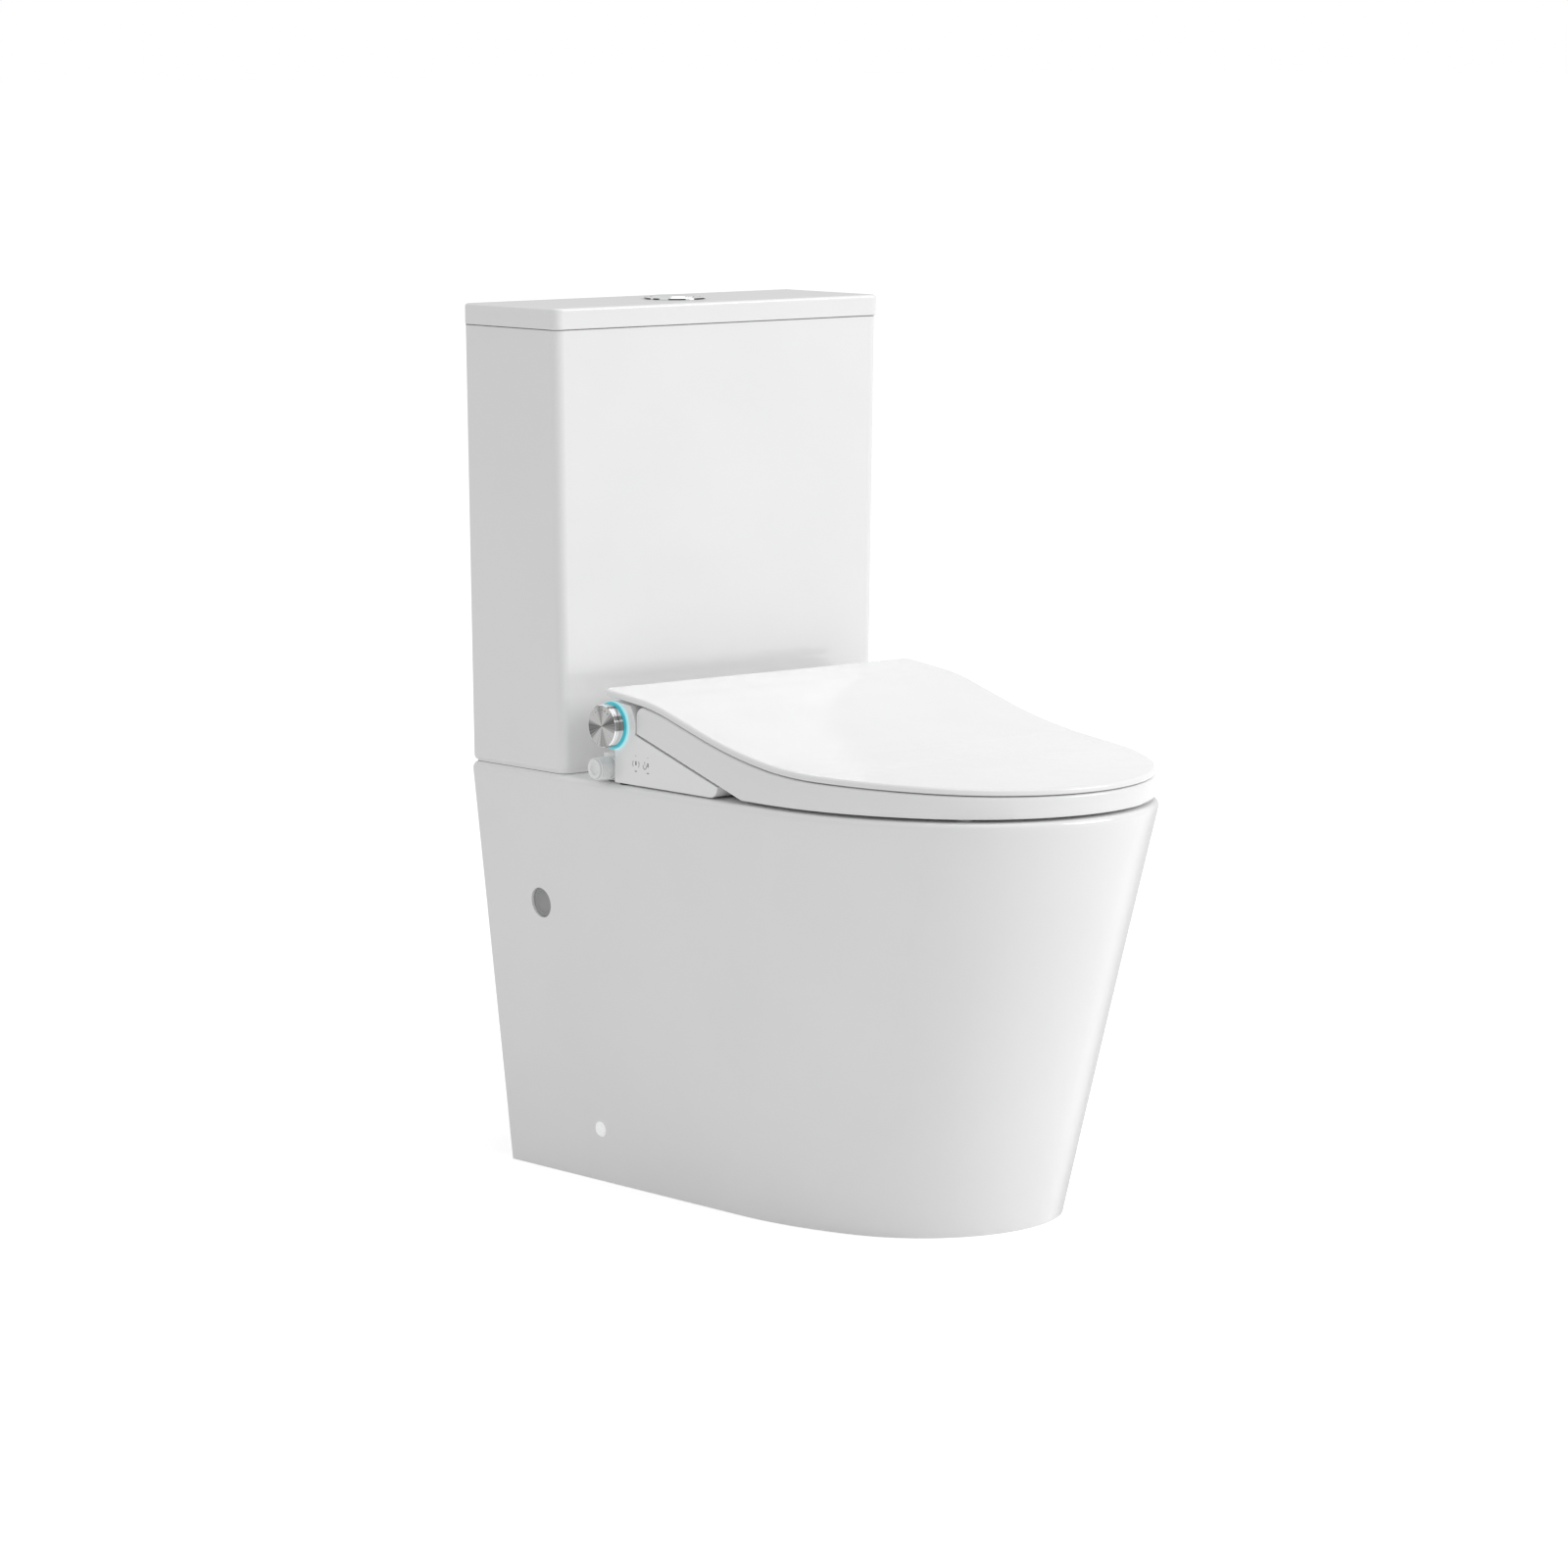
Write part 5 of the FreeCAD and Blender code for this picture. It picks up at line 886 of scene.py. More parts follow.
KNOB_AXIS = Axis((-0.190, 0.123, 0.4475), (0.0, -1.0, 0.0), UPWARDS)
INLET_AXIS = Axis((0.0, 0.1345, 0.4065), (0.0, -1.0, 0.0), UPWARDS)
BUTTON_AXIS = Axis((0.0, 0.2625, 0.830), (1.0, 0.0, 0.0), (0.0, 1.0, 0.0))
FINISHES: dict[Slot, Finish] = {
    Slot.GLAZE: GlazedCeramic("glaze"),
    Slot.SEAT: GlossPlastic("seat_plastic"),
    Slot.CHROME: Chrome("chrome"),
    Slot.BRUSHED: TurnedMetal("turned_metal", KNOB_AXIS),
    Slot.LIGHT: LightDiffuser("light_ring", KNOB_AXIS),
    Slot.CLEAR: ClearPlastic("clear_plastic"),
    Slot.VALVE: MattPlastic("valve_plastic", (0.72, 0.72, 0.69, 1.0), (0.66, 0.66, 0.62, 1.0), 0.38),
    Slot.GREY: MattPlastic("grey_plastic", (0.345, 0.348, 0.350, 1.0), (0.305, 0.308, 0.312, 1.0)),
    Slot.RUBBER: Rubber("rubber", (0.028, 0.028, 0.030, 1.0), (0.055, 0.055, 0.057, 1.0)),
    Slot.PALE_RUBBER: Rubber("pale_rubber", (0.60, 0.61, 0.61, 1.0), (0.66, 0.67, 0.67, 1.0)),
    Slot.STEEL: DrawnSteel("steel"),
    Slot.ZINC: ZincSteel("zinc_steel"),
    # The hose has a faint painted glow as well.
    Slot.HOSE: ClearPlastic("hose", (0.66, 0.69, 0.70, 1.0), (0.58, 0.61, 0.62, 1.0), 0.3, 0.03),
}
# Base plastic painted lighter than the seat's to lift the shade on the base's sides, with the ring's spilt
# light painted round the knob.
LIFTED_BASE_PLASTIC = SpillPaintedPlastic(
    "base_plastic", (0.930, 0.931, 0.931, 1.0), (0.915, 0.916, 0.917, 1.0), axis=KNOB_AXIS
)
BUTTON_VEIL = Veil((0.70, 0.70, 0.70, 1.0), 0.62, 0.82, 0.95)
BUTTON_CHROME = Chrome("button_chrome", edge_on=BUTTON_VEIL)
# Bezel rim with painted reflections of dark walls, streak by streak round the button.
BEZEL_CHROME = ReflectionPaintedChrome(
    "bezel_chrome", edge_on=BUTTON_VEIL, axis=BUTTON_AXIS, rim=0.0294,
    streaks=(
        (163.5, 16.0), (-166.5, 7.0), (-125.5, 16.0), (-72.5, 20.0), (-15.5, 18.0), (39.5, 20.0),
        (109.5, 20.0),
    ),
)
# Knob side with painted reflections: grey streaks of dark walls round the knob.
KNOB_CHROME = ReflectionPaintedChrome(
    "knob_chrome", (0.80, 0.805, 0.81, 1.0), axis=KNOB_AXIS, rim=0.0150, dark=(0.300, 0.298, 0.298, 1.0),
    streaks=(
        (64.0, 4.0), (27.0, 5.0), (4.0, 12.0), (-68.0, 9.0), (118.0, 8.0), (180.0, 24.0), (-122.0, 8.0),
    ),
)
THREAD_PLASTIC = RootShadedPlastic("thread_plastic", axis=INLET_AXIS)
# Screw caps with a strong painted glow that lightens them past their lit tone.
CAP_PLASTIC = ClearPlastic("cap_plastic", (0.940, 0.945, 0.945, 1.0), (0.920, 0.925, 0.928, 1.0), glow=0.22)
INK = PrintedInk("printed_ink")
FAINT_INK = PrintedInk("faint_ink", (0.26, 0.26, 0.265, 1.0), (0.33, 0.33, 0.335, 1.0))
SEALANT = Rubber("sealant", (0.86, 0.86, 0.86, 1.0), (0.88, 0.88, 0.88, 1.0))
# Dark strips put in the seams as painted shadow lines.
SEAM_SHADE = MattPlastic("seam_shade", (0.105, 0.105, 0.106, 1.0), (0.090, 0.090, 0.091, 1.0))


class Shaper:
    """Mesh of one piece while it is being made."""

    NODE_MERGE = 0.000002
    MERGE = 0.000001
    FLAT = math.radians(0.05)

    def __init__(self) -> None:
        """Starts an empty mesh."""
        self.bm = bmesh.new()

    @classmethod
    def from_node(cls, node: str) -> "Shaper":
        """Copy of a CAD node's surface, merged and with its flat faces joined.

        Args:
            node: The CAD node's name.

        Returns:
            The copy.
        """
        made = cls()
        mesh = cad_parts[node].data.copy()
        known = mesh.attributes.get("custom_normal")
        if known is not None:
            mesh.attributes.remove(known)
        made.bm.from_mesh(mesh)
        bpy.data.meshes.remove(mesh)
        bmesh.ops.remove_doubles(made.bm, verts=made.bm.verts, dist=cls.NODE_MERGE)
        bmesh.ops.dissolve_limit(
            made.bm, angle_limit=cls.FLAT, verts=made.bm.verts, edges=made.bm.edges
        )
        return made

    def lathe(
        self, profile: Sequence[Pair], origin: Sequence[float], axis: Sequence[float],
        steps: int, closed: bool = False,
    ) -> "Shaper":
        """Turns a profile about an axis.

        Args:
            profile: Pairs of radius and distance along the axis, in metres.
            origin: Point on the axis where the distance is zero.
            axis: The axis's direction.
            steps: Facets round the turn.
            closed: Whether the profile's last point joins its first.

        Returns:
            This shaper.
        """
        along = Vector(axis).normalized()
        outward = along.orthogonal().normalized()
        verts = [self.bm.verts.new(Vector(origin) + outward * r + along * a) for r, a in profile]
        pairs = list(zip(verts, verts[1:])) + ([(verts[-1], verts[0])] if closed else [])
        edges = [self.bm.edges.new(pair) for pair in pairs]
        bmesh.ops.spin(
            self.bm, geom=verts + edges, cent=Vector(origin), axis=along, angle=math.tau, steps=steps,
            use_merge=True,
        )
        return self.tidy()

    def ribbon(self, path: Sequence[Pair], low: float, high: float, thick: float) -> "Shaper":
        """Stands a thin wall on a path.

        Args:
            path: The wall's outer points, x and y in metres, with the inside on their left.
            low: Height of its foot.
            high: Height of its top.
            thick: Its thickness, inwards.

        Returns:
            This shaper.
        """
        verts = [self.bm.verts.new((x, y, low)) for x, y in path]
        edges = [self.bm.edges.new(pair) for pair in zip(verts, verts[1:])]
        raised = bmesh.ops.extrude_edge_only(self.bm, edges=edges)["geom"]
        top = [item for item in raised if isinstance(item, bmesh.types.BMVert)]
        bmesh.ops.translate(self.bm, verts=top, vec=(0.0, 0.0, high - low))
        bmesh.ops.recalc_face_normals(self.bm, faces=self.bm.faces)
        bmesh.ops.solidify(self.bm, geom=list(self.bm.faces), thickness=thick)
        return self.tidy()

    def tidy(self) -> "Shaper":
        """Merges doubles and turns the faces outwards.

        Returns:
            This shaper.
        """
        bmesh.ops.remove_doubles(self.bm, verts=self.bm.verts, dist=self.MERGE)
        bmesh.ops.recalc_face_normals(self.bm, faces=self.bm.faces)
        return self

    def soften(self, width: float, steps: int = 3, angle: float = 30.0) -> "Shaper":
        """Rounds every edge sharper than an angle.

        Args:
            width: Width of the rounding in metres.
            steps: Facets across it.
            angle: Least angle between faces, in degrees.

        Returns:
            This shaper.
        """
        limit = math.radians(angle)
        inner = [edge for edge in self.bm.edges if len(edge.link_faces) == 2]
        sharp = [edge for edge in inner if edge.calc_face_angle(0.0) > limit]
        bmesh.ops.bevel(
            self.bm, geom=sharp, offset=width, offset_type="OFFSET", affect="EDGES", segments=steps,
            profile=0.5, material=-1, clamp_overlap=True,
        )
        return self

    def finish(
        self, name: str, finish: Finish, slot: Slot, body: Body, stands_for: Sequence[str] = (),
        crease: float = 38.0, weighted: bool = False,
    ) -> bpy.types.Object:
        """Makes the object, dresses it and ties it to its body.

        Args:
            name: The object's name.
            finish: Its finish.
            slot: The record's material slot; not used here.
            body: The body it rides on.
            stands_for: CAD nodes that it replaces.
            crease: Angle above which shading breaks, in degrees.
            weighted: Whether large faces keep flat shading beside rounded edges.

        Returns:
            The object.
        """
        limit = math.radians(crease)
        for face in self.bm.faces:
            face.smooth = True
        for edge in self.bm.edges:
            edge.smooth = len(edge.link_faces) == 2 and edge.calc_face_angle(0.0) < limit
        mesh = bpy.data.meshes.new(name)
        self.bm.to_mesh(mesh)
        self.bm.free()
        mesh.materials.clear()
        mesh.materials.append(finish.material())
        made = bpy.data.objects.new(name, mesh)
        bpy.context.scene.collection.objects.link(made)
        if weighted:
            made.modifiers.new("face_weight", "WEIGHTED_NORMAL").keep_sharp = True
        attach(made, body.value)
        if stands_for:
            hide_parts(*stands_for)
        LOG.info("%s: %d faces on %s", name, len(mesh.polygons), body.value)
        return made


@dataclass
class Skin:
    """A CAD node's own surface, smooth shaded, with its edges rounded where they have a width for it."""

    node: str
    slot: Slot
    body: Body = Body.SUITE
    edge: float = 0.0
    look: Optional[Finish] = None

    def build(self) -> bpy.types.Object:
        """Makes the dressed copy and hides the node.

        Returns:
            The copy.
        """
        shaper = Shaper.from_node(self.node)
        rounded = self.edge > 0.0
        if rounded:
            shaper.soften(self.edge)
        look = self.look or FINISHES[self.slot]
        name = self.node + "_skin"
        return shaper.finish(name, look, self.slot, self.body, [self.node], weighted=rounded)


@dataclass
class CeramicSuite:
    """Glazed pan, cistern tank and cistern lid, with dark strips of painted shadow in the joints between them
    and a pale bead under the tank.
    """

    tank_edge: float = 0.0012
    cover_edge: float = 0.0008
    wall: float = 0.332
    corner: float = 0.010
    corner_steps: int = 12
    cover_half: float = 0.1992
    cover_front: float = 0.1938
    cover_seam: Pair = (0.8094, 0.8103)
    line_thick: float = 0.0010
    line_stop: float = 0.0005
    tank_half: float = 0.1920
    tank_front: float = 0.1955
    tank_seam: Pair = (0.3905, 0.3978)
    bead_thick: float = 0.0030
    bead_stop: float = 0.0050
    tank_line: Pair = (0.3936, 0.3941)
    line_proud: float = 0.00005

    def build(self) -> list[bpy.types.Object]:
        """Makes the glazed pieces, the painted shadow line under the cover, and the bead and painted shadow
        line under the tank.

        Returns:
            The pieces.
        """
        skins = [
            Skin("pan", Slot.GLAZE),
            Skin("cistern_tank", Slot.GLAZE, edge=self.tank_edge),
            Skin("cistern_lid", Slot.GLAZE, edge=self.cover_edge),
        ]
        proud = self.line_proud
        seam = self._path(self.tank_half + proud, self.tank_front - proud, self.bead_stop)
        edge = self._path(self.cover_half, self.cover_front, self.line_stop)
        foot = self._path(self.tank_half, self.tank_front, self.bead_stop)
        # Dark strips of painted shadow: on the pan under the tank, and under the cover.
        join = Shaper().ribbon(seam, *self.tank_line, self.line_thick)
        line = Shaper().ribbon(edge, *self.cover_seam, self.line_thick)
        bead = Shaper().ribbon(foot, *self.tank_seam, self.bead_thick)
        return [skin.build() for skin in skins] + [
            join.finish("tank_shadow_line", SEAM_SHADE, Slot.GREY, Body.SUITE),
            line.finish("cover_shadow_line", SEAM_SHADE, Slot.GREY, Body.SUITE),
            bead.finish("tank_bead", SEALANT, Slot.PALE_RUBBER, Body.SUITE),
        ]

    def _path(self, half: float, front: float, stop: float) -> list[Pair]:
        """Outline of the tank from the wall round its front and back to the wall.

        Args:
            half: Half of its width.
            front: Its front's place.
            stop: How far from the wall both ends stop.

        Returns:
            The outline's points.
        """
        points = [(-half, self.wall - stop)]
        for side, start in ((-1.0, math.pi), (1.0, -math.pi / 2)):
            for step in range(self.corner_steps + 1):
                turn = start + math.pi / 2 * step / self.corner_steps
                x = side * (half - self.corner) + self.corner * math.cos(turn)
                points.append((x, front + self.corner + self.corner * math.sin(turn)))
        return points + [(half, self.wall - stop)]


@dataclass
class BidetSeat:
    """Seat ring, lid and the base that holds the washing gear, with its two printed marks.

    A stroke is its place beside the mark's middle, along and up, then its width and height.
    """

    base_edge: float = 0.0008
    side: float = -0.190
    print_thick: float = 0.00006
    line: float = 0.0008
    arc_steps: int = 16
    spray_mark: Pair = (0.0899, 0.4152)
    drop_mark: Pair = (0.0725, 0.4149)
    bold_stroke: tuple[float, ...] = (0.0, 0.0, 0.0017, 0.0038)
    under_stroke: tuple[float, ...] = (0.0, -0.0075, 0.0034, 0.0010)
    over_stroke: tuple[float, ...] = (0.0, 0.0069, 0.0009, 0.0009)
    drop_stroke: tuple[float, ...] = (0.0046, 0.0015, 0.0007, 0.0030)
    spray_arc: Pair = (0.0042, 0.62)
    spray_fall: float = 0.0008
    drop_arc: tuple[float, ...] = (0.0019, -math.pi * 1.2, math.pi * 0.2)
    drop_place: Pair = (0.0046, -0.0018)

    def build(self) -> list[bpy.types.Object]:
        """Makes the plastic pieces and the two printed marks.

        Returns:
            The pieces.
        """
        skins = [
            Skin("seat_ring", Slot.SEAT, Body.RING),
            Skin("seat_lid", Slot.SEAT, Body.LID),
            Skin("bidet_base", Slot.SEAT, edge=self.base_edge, look=LIFTED_BASE_PLASTIC),
        ]
        return [skin.build() for skin in skins] + self.print_marks()

    def print_marks(self) -> list[bpy.types.Object]:
        """Prints a spray mark and a drop mark: a dark bar each, with fainter lines round it.

        Returns:
            The dark print and the faint print.
        """
        dark, faint = Shaper(), Shaper()
        for mark in (self.spray_mark, self.drop_mark):
            self._bar(dark.bm, mark, self.bold_stroke)
            self._bar(faint.bm, mark, self.under_stroke)
            self._bar(faint.bm, mark, self.over_stroke)
        y, z = self.spray_mark
        radius, half = self.spray_arc
        for turn in (0.0, math.pi):
            self._arc(faint.bm, (y, z - self.spray_fall), radius, turn - half, turn + half)
        y, z = (place + step for place, step in zip(self.drop_mark, self.drop_place))
        self._arc(faint.bm, (y, z), *self.drop_arc)
        self._bar(faint.bm, self.drop_mark, self.drop_stroke)
        return [
            dark.tidy().finish("wash_marks", INK, Slot.GREY, Body.SUITE),
            faint.tidy().finish("wash_mark_lines", FAINT_INK, Slot.GREY, Body.SUITE),
        ]

    def _bar(self, bm: bmesh.types.BMesh, mark: Pair, stroke: Sequence[float]) -> None:
        """Adds one printed bar.

        Args:
            bm: Mesh it goes into.
            mark: Middle of its mark, along the side and up.
            stroke: Its place beside that middle, its width and its height.
        """
        along, up, wide, tall = stroke
        size = Matrix.Diagonal((self.print_thick, wide, tall, 1.0))
        middle = (self.side - self.print_thick / 2, mark[0] + along, mark[1] + up)
        bmesh.ops.create_cube(bm, size=1.0, matrix=Matrix.Translation(middle) @ size)

    def _arc(self, bm: bmesh.types.BMesh, middle: Pair, radius: float, start: float, end: float) -> None:
        """Adds one printed arc.

        Args:
            bm: Mesh it goes into.
            middle: Its centre, along the side and up.
            radius: Its radius.
            start: Angle where it starts, from +Y towards +Z.
            end: Angle where it ends.
        """
        centre = Vector((self.side, *middle))
        outward = Vector((0.0, math.cos(start), math.sin(start)))
        outer, proud = radius + self.line, -self.print_thick
        corners = [(radius, 0.0), (outer, 0.0), (outer, proud), (radius, proud)]
        verts = [bm.verts.new(centre + outward * r + Vector((x, 0.0, 0.0))) for r, x in corners]
        first = bm.faces.new(verts)
        bmesh.ops.spin(
            bm, geom=[first] + list(first.edges) + verts, cent=centre, axis=Vector((1.0, 0.0, 0.0)),
            angle=end - start, steps=self.arc_steps,
        )


@dataclass
class ControlKnob:
    """Chrome knob with a turned face, and the glowing ring behind it.

    The back edge's points are insets from the radius and heights over the back, and the front
    edge's are insets from the radius and depths under the face.
    """

    axle: Point = (-1.0, 0.0, 0.0)
    facets: int = 128
    ring_bore: float = 0.0170
    ring_radius: float = 0.0224
    ring_thick: float = 0.0018
    ring_edge: float = 0.0005
    back: float = 0.0023
    face: float = 0.0137
    radius: float = 0.02035
    back_edge: tuple[Pair, ...] = ((0.0016, 0.0), (0.0004, 0.0014))
    front_edge: tuple[Pair, ...] = (
        (0.0004, 0.0036), (0.0009, 0.0033), (0.0009, 0.0029), (0.0, 0.0025), (0.0, 0.0010), (0.0010, 0.0),
    )
    knob_edge: float = 0.00022
    knob_edge_angle: float = 20.0
    recess_radius: float = 0.0178
    recess: float = 0.0008
    stem: float = 0.00405
    stem_depth: float = 0.0067
    cap_radius: float = 0.0177
    plate_radius: float = 0.0193
    plate_thick: float = 0.00025
    plate_edge: float = 0.0002
    plate_drop: float = 0.0001
    plate_facets: int = 120
    centre_flat: float = 0.0003
    grooves: int = 44
    least_lean: float = 0.5
    most_lean: float = 5.0
    dot_ring: float = 0.0152
    dot_turns: tuple[float, ...] = (-36.0, -18.0, 0.0, 18.0, 36.0)
    dot_radius: float = 0.00050
    dot_growth: float = 0.00007
    dot_thick: float = 0.00012
    dot_facets: int = 20

    def build(self) -> list[bpy.types.Object]:
        """Makes the ring, the knob, its face and the dots on it."""
        return [self.light_ring(), self.knob(), self.turned_face(), self.flow_dots()]

    def light_ring(self) -> bpy.types.Object:
        """Makes the glowing ring.

        Returns:
            The ring.
        """
        low, high = self.ring_bore, self.ring_radius
        profile = [(low, 0.0), (high, 0.0), (high, self.ring_thick), (low, self.ring_thick)]
        shaper = Shaper().lathe(profile, KNOB_AXIS.centre, self.axle, self.facets, closed=True)
        return shaper.soften(self.ring_edge, steps=4).finish(
            "light_ring_diffuser", FINISHES[Slot.LIGHT], Slot.LIGHT, Body.SUITE, ["light_ring"]
        )

    def knob(self) -> bpy.types.Object:
        """Makes the knob's chrome body with its bead and waist.

        Returns:
            The body.
        """
        back, face, floor = self.back, self.face, self.face - self.recess
        profile = [(self.stem, back)]
        profile += [(self.radius - inset, back + up) for inset, up in self.back_edge]
        profile += [(self.radius - inset, face - down) for inset, down in self.front_edge]
        profile += [(self.recess_radius, face), (self.recess_radius, floor), (0.0, floor)]
        profile += [(0.0, back + self.stem_depth), (self.stem, back + self.stem_depth)]
        shaper = Shaper().lathe(profile, KNOB_AXIS.centre, self.axle, self.facets, closed=True)
        shaper.soften(self.knob_edge, angle=self.knob_edge_angle)
        return shaper.finish("knob_body", KNOB_CHROME, Slot.CHROME, Body.KNOB, ["knob"])

    def turned_face(self) -> bpy.types.Object:
        """Makes the face from fine rings, each leaning a little differently.

        Returns:
            The face.
        """
        low, high = self.face - self.recess, self.face + self.plate_thick
        rim = self.plate_radius - self.plate_edge
        pitch = (rim - self.centre_flat) / self.grooves
        profile = [
            (0.0, low), (self.cap_radius, low), (self.cap_radius, self.face), (self.plate_radius, self.face),
            (self.plate_radius, high - self.plate_drop), (rim, high),
        ]
        for ring in range(self.grooves):
            outer = rim - pitch * ring
            share = (ring * GOLDEN_SHARE) % 1.0
            lean = self.least_lean + (self.most_lean - self.least_lean) * share
            profile.append((outer - pitch / 2, high - pitch / 2 * math.tan(math.radians(lean))))
            profile.append((outer - pitch, high))
        profile.append((0.0, high))
        shaper = Shaper().lathe(profile, KNOB_AXIS.centre, self.axle, self.plate_facets)
        return shaper.finish(
            "knob_face", FINISHES[Slot.BRUSHED], Slot.BRUSHED, Body.KNOB, ["knob_cap"], crease=1.0
        )

    def flow_dots(self) -> bpy.types.Object:
        """Prints a row of growing dots along the top of the face.

        Returns:
            The dots.
        """
        shaper = Shaper()
        x, y, z = KNOB_AXIS.centre
        out = x - self.face - self.plate_thick
        for place, turn in enumerate(self.dot_turns):
            angle = math.radians(turn)
            middle = (out, y - self.dot_ring * math.sin(angle), z + self.dot_ring * math.cos(angle))
            at = Matrix.Translation(middle) @ Matrix.Rotation(math.pi / 2, 4, "Y")
            size = self.dot_radius + self.dot_growth * place
            bmesh.ops.create_cone(
                shaper.bm, cap_ends=True, segments=self.dot_facets, radius1=size, radius2=size,
                depth=self.dot_thick, matrix=at,
            )
        return shaper.tidy().finish("flow_dots", INK, Slot.GREY, Body.KNOB)


@dataclass
class WaterInlet:
    """Threaded inlet nipple of milky plastic.

    The thread's run-in and half foot are shares of its pitch, and its half crest is a share of the half foot.
    """

    axis: Point = (-1.0, 0.0, 0.0)
    origin: Point = INLET_AXIS.centre
    facets: int = 72
    edge: float = 0.0004
    tail: float = 0.165
    block: float = 0.183
    collar: float = 0.186
    end: float = 0.204
    bore: float = 0.0060
    tail_radius: float = 0.0080
    collar_radius: float = 0.0116
    root: float = THREAD_PLASTIC.root
    crest: float = 0.01045
    pitch: float = 0.0023
    run_in_share: float = 0.6
    foot_share: float = 0.46
    crest_share: float = 0.28
    foot_sink: float = 0.0002
    turn_steps: int = 48
    strainer_depth: float = 0.0030
    strainer_thick: float = 0.0008
    strainer_facets: int = 48

    def build(self) -> list[bpy.types.Object]:
        """Makes the nipple with its helical thread, and the strainer in its mouth.

        Returns:
            The nipple and the strainer.
        """
        profile = [
            (self.bore, self.tail), (self.tail_radius, self.tail), (self.tail_radius, self.block),
            (self.collar_radius, self.block), (self.collar_radius, self.collar), (self.root, self.collar),
            (self.root, self.end), (self.bore, self.end),
        ]
        nipple = Shaper().lathe(profile, self.origin, self.axis, self.facets, closed=True)
        self._thread(nipple.soften(self.edge).bm)
        low = self.end - self.strainer_depth
        high = low + self.strainer_thick
        disc = [(0.0, low), (self.bore, low), (self.bore, high), (0.0, high)]
        strainer = Shaper().lathe(disc, self.origin, self.axis, self.strainer_facets)
        return [
            nipple.finish("inlet_thread", THREAD_PLASTIC, Slot.CLEAR, Body.SUITE, ["inlet_nipple"]),
            strainer.finish("inlet_strainer", FINISHES[Slot.CLEAR], Slot.CLEAR, Body.SUITE),
        ]

    def _thread(self, bm: bmesh.types.BMesh) -> None:
        """Winds the thread's ridge round the nipple.

        Args:
            bm: Mesh it goes into.
        """
        along = Vector(self.axis)
        outward = along.orthogonal().normalized()
        run_in = self.pitch * self.run_in_share
        turns = (self.end - self.collar - run_in * 2) / self.pitch
        foot, half = self.root - self.foot_sink, self.pitch * self.foot_share
        top = half * self.crest_share
        section = [(foot, -half), (self.crest, -top), (self.crest, top), (foot, half)]
        middle, start = Vector(self.origin), self.collar + run_in
        verts = [bm.verts.new(middle + outward * r + along * (start + a)) for r, a in section]
        first = bm.faces.new(verts)
        steps = int(turns * self.turn_steps)
        bmesh.ops.spin(
            bm, geom=[first] + list(first.edges) + verts, cent=Vector(self.origin), axis=along,
            dvec=along * (self.pitch * turns / steps), angle=math.tau * turns, steps=steps,
            use_duplicate=False,
        )
        bmesh.ops.recalc_face_normals(bm, faces=bm.faces)


@dataclass
class FlushButton:
    """Chrome bezel and the two halves of the flush button."""

    bore: float = 0.0236
    sleeve: float = 0.0256
    radius: float = 0.0300
    high: float = 0.0024
    outer_bevel: float = 0.0013
    inner_bevel: float = 0.0010
    bezel_edge: float = 0.0004
    bezel_edge_angle: float = 20.0
    facets: int = 128
    button_edge: float = 0.0005

    def build(self) -> list[bpy.types.Object]:
        """Makes the bezel and both button halves.

        Returns:
            The pieces.
        """
        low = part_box("button_bezel")[0][2] - BUTTON_AXIS.centre[2]
        outer, inner = self.outer_bevel, self.inner_bevel
        profile = [
            (self.bore, low), (self.sleeve, low), (self.sleeve, 0.0), (self.radius, 0.0),
            (self.radius, self.high - outer), (self.radius - outer, self.high),
            (self.bore + inner, self.high), (self.bore, self.high - inner),
        ]
        shaper = Shaper().lathe(profile, BUTTON_AXIS.centre, UPWARDS, self.facets, closed=True)
        shaper.soften(self.bezel_edge, steps=4, angle=self.bezel_edge_angle)
        halves = [
            Skin("full_flush_button", Slot.CHROME, Body.FULL, self.button_edge, look=BUTTON_CHROME),
            Skin("half_flush_button", Slot.CHROME, Body.HALF, self.button_edge, look=BUTTON_CHROME),
        ]
        bezel = shaper.finish("bezel_ring", BEZEL_CHROME, Slot.CHROME, Body.SUITE, ["button_bezel"])
        return [bezel] + [half.build() for half in halves]


@dataclass
class SideFittings:
    """Grey plugs and white screw caps in the sides of the pan."""

    plug_edge: float = 0.0005
    cap_edge: float = 0.0006

    def build(self) -> list[bpy.types.Object]:
        """Makes the plugs and caps with rounded rims.

        Returns:
            The plugs and the caps.
        """
        plugs = Skin("side_plugs", Slot.GREY, edge=self.plug_edge).build()
        caps = Skin("screw_caps", Slot.SEAT, edge=self.cap_edge, look=CAP_PLASTIC).build()
        return [plugs, caps]


@dataclass
class BaseFeet:
    """Rubber feet under the base, the rear ones near enough to its side to show."""

    places: tuple[Pair, ...] = ((0.168, -0.006), (0.1832, 0.1120))
    radius: float = 0.0060
    low: float = 0.3930
    high: float = 0.3945
    facets: int = 40

    def build(self) -> list[bpy.types.Object]:
        """Makes the feet, a pair for each place.

        Returns:
            The feet as one piece.
        """
        shaper = Shaper()
        tall = self.high - self.low
        profile = [(0.0, 0.0), (self.radius, 0.0), (self.radius, tall), (0.0, tall)]
        for x, y in self.places:
            for side in (-1.0, 1.0):
                shaper.lathe(profile, (side * x, y, self.low), UPWARDS, self.facets)
        rubber = FINISHES[Slot.RUBBER]
        return [shaper.finish("base_foot_pads", rubber, Slot.RUBBER, Body.SUITE, ["base_feet"])]


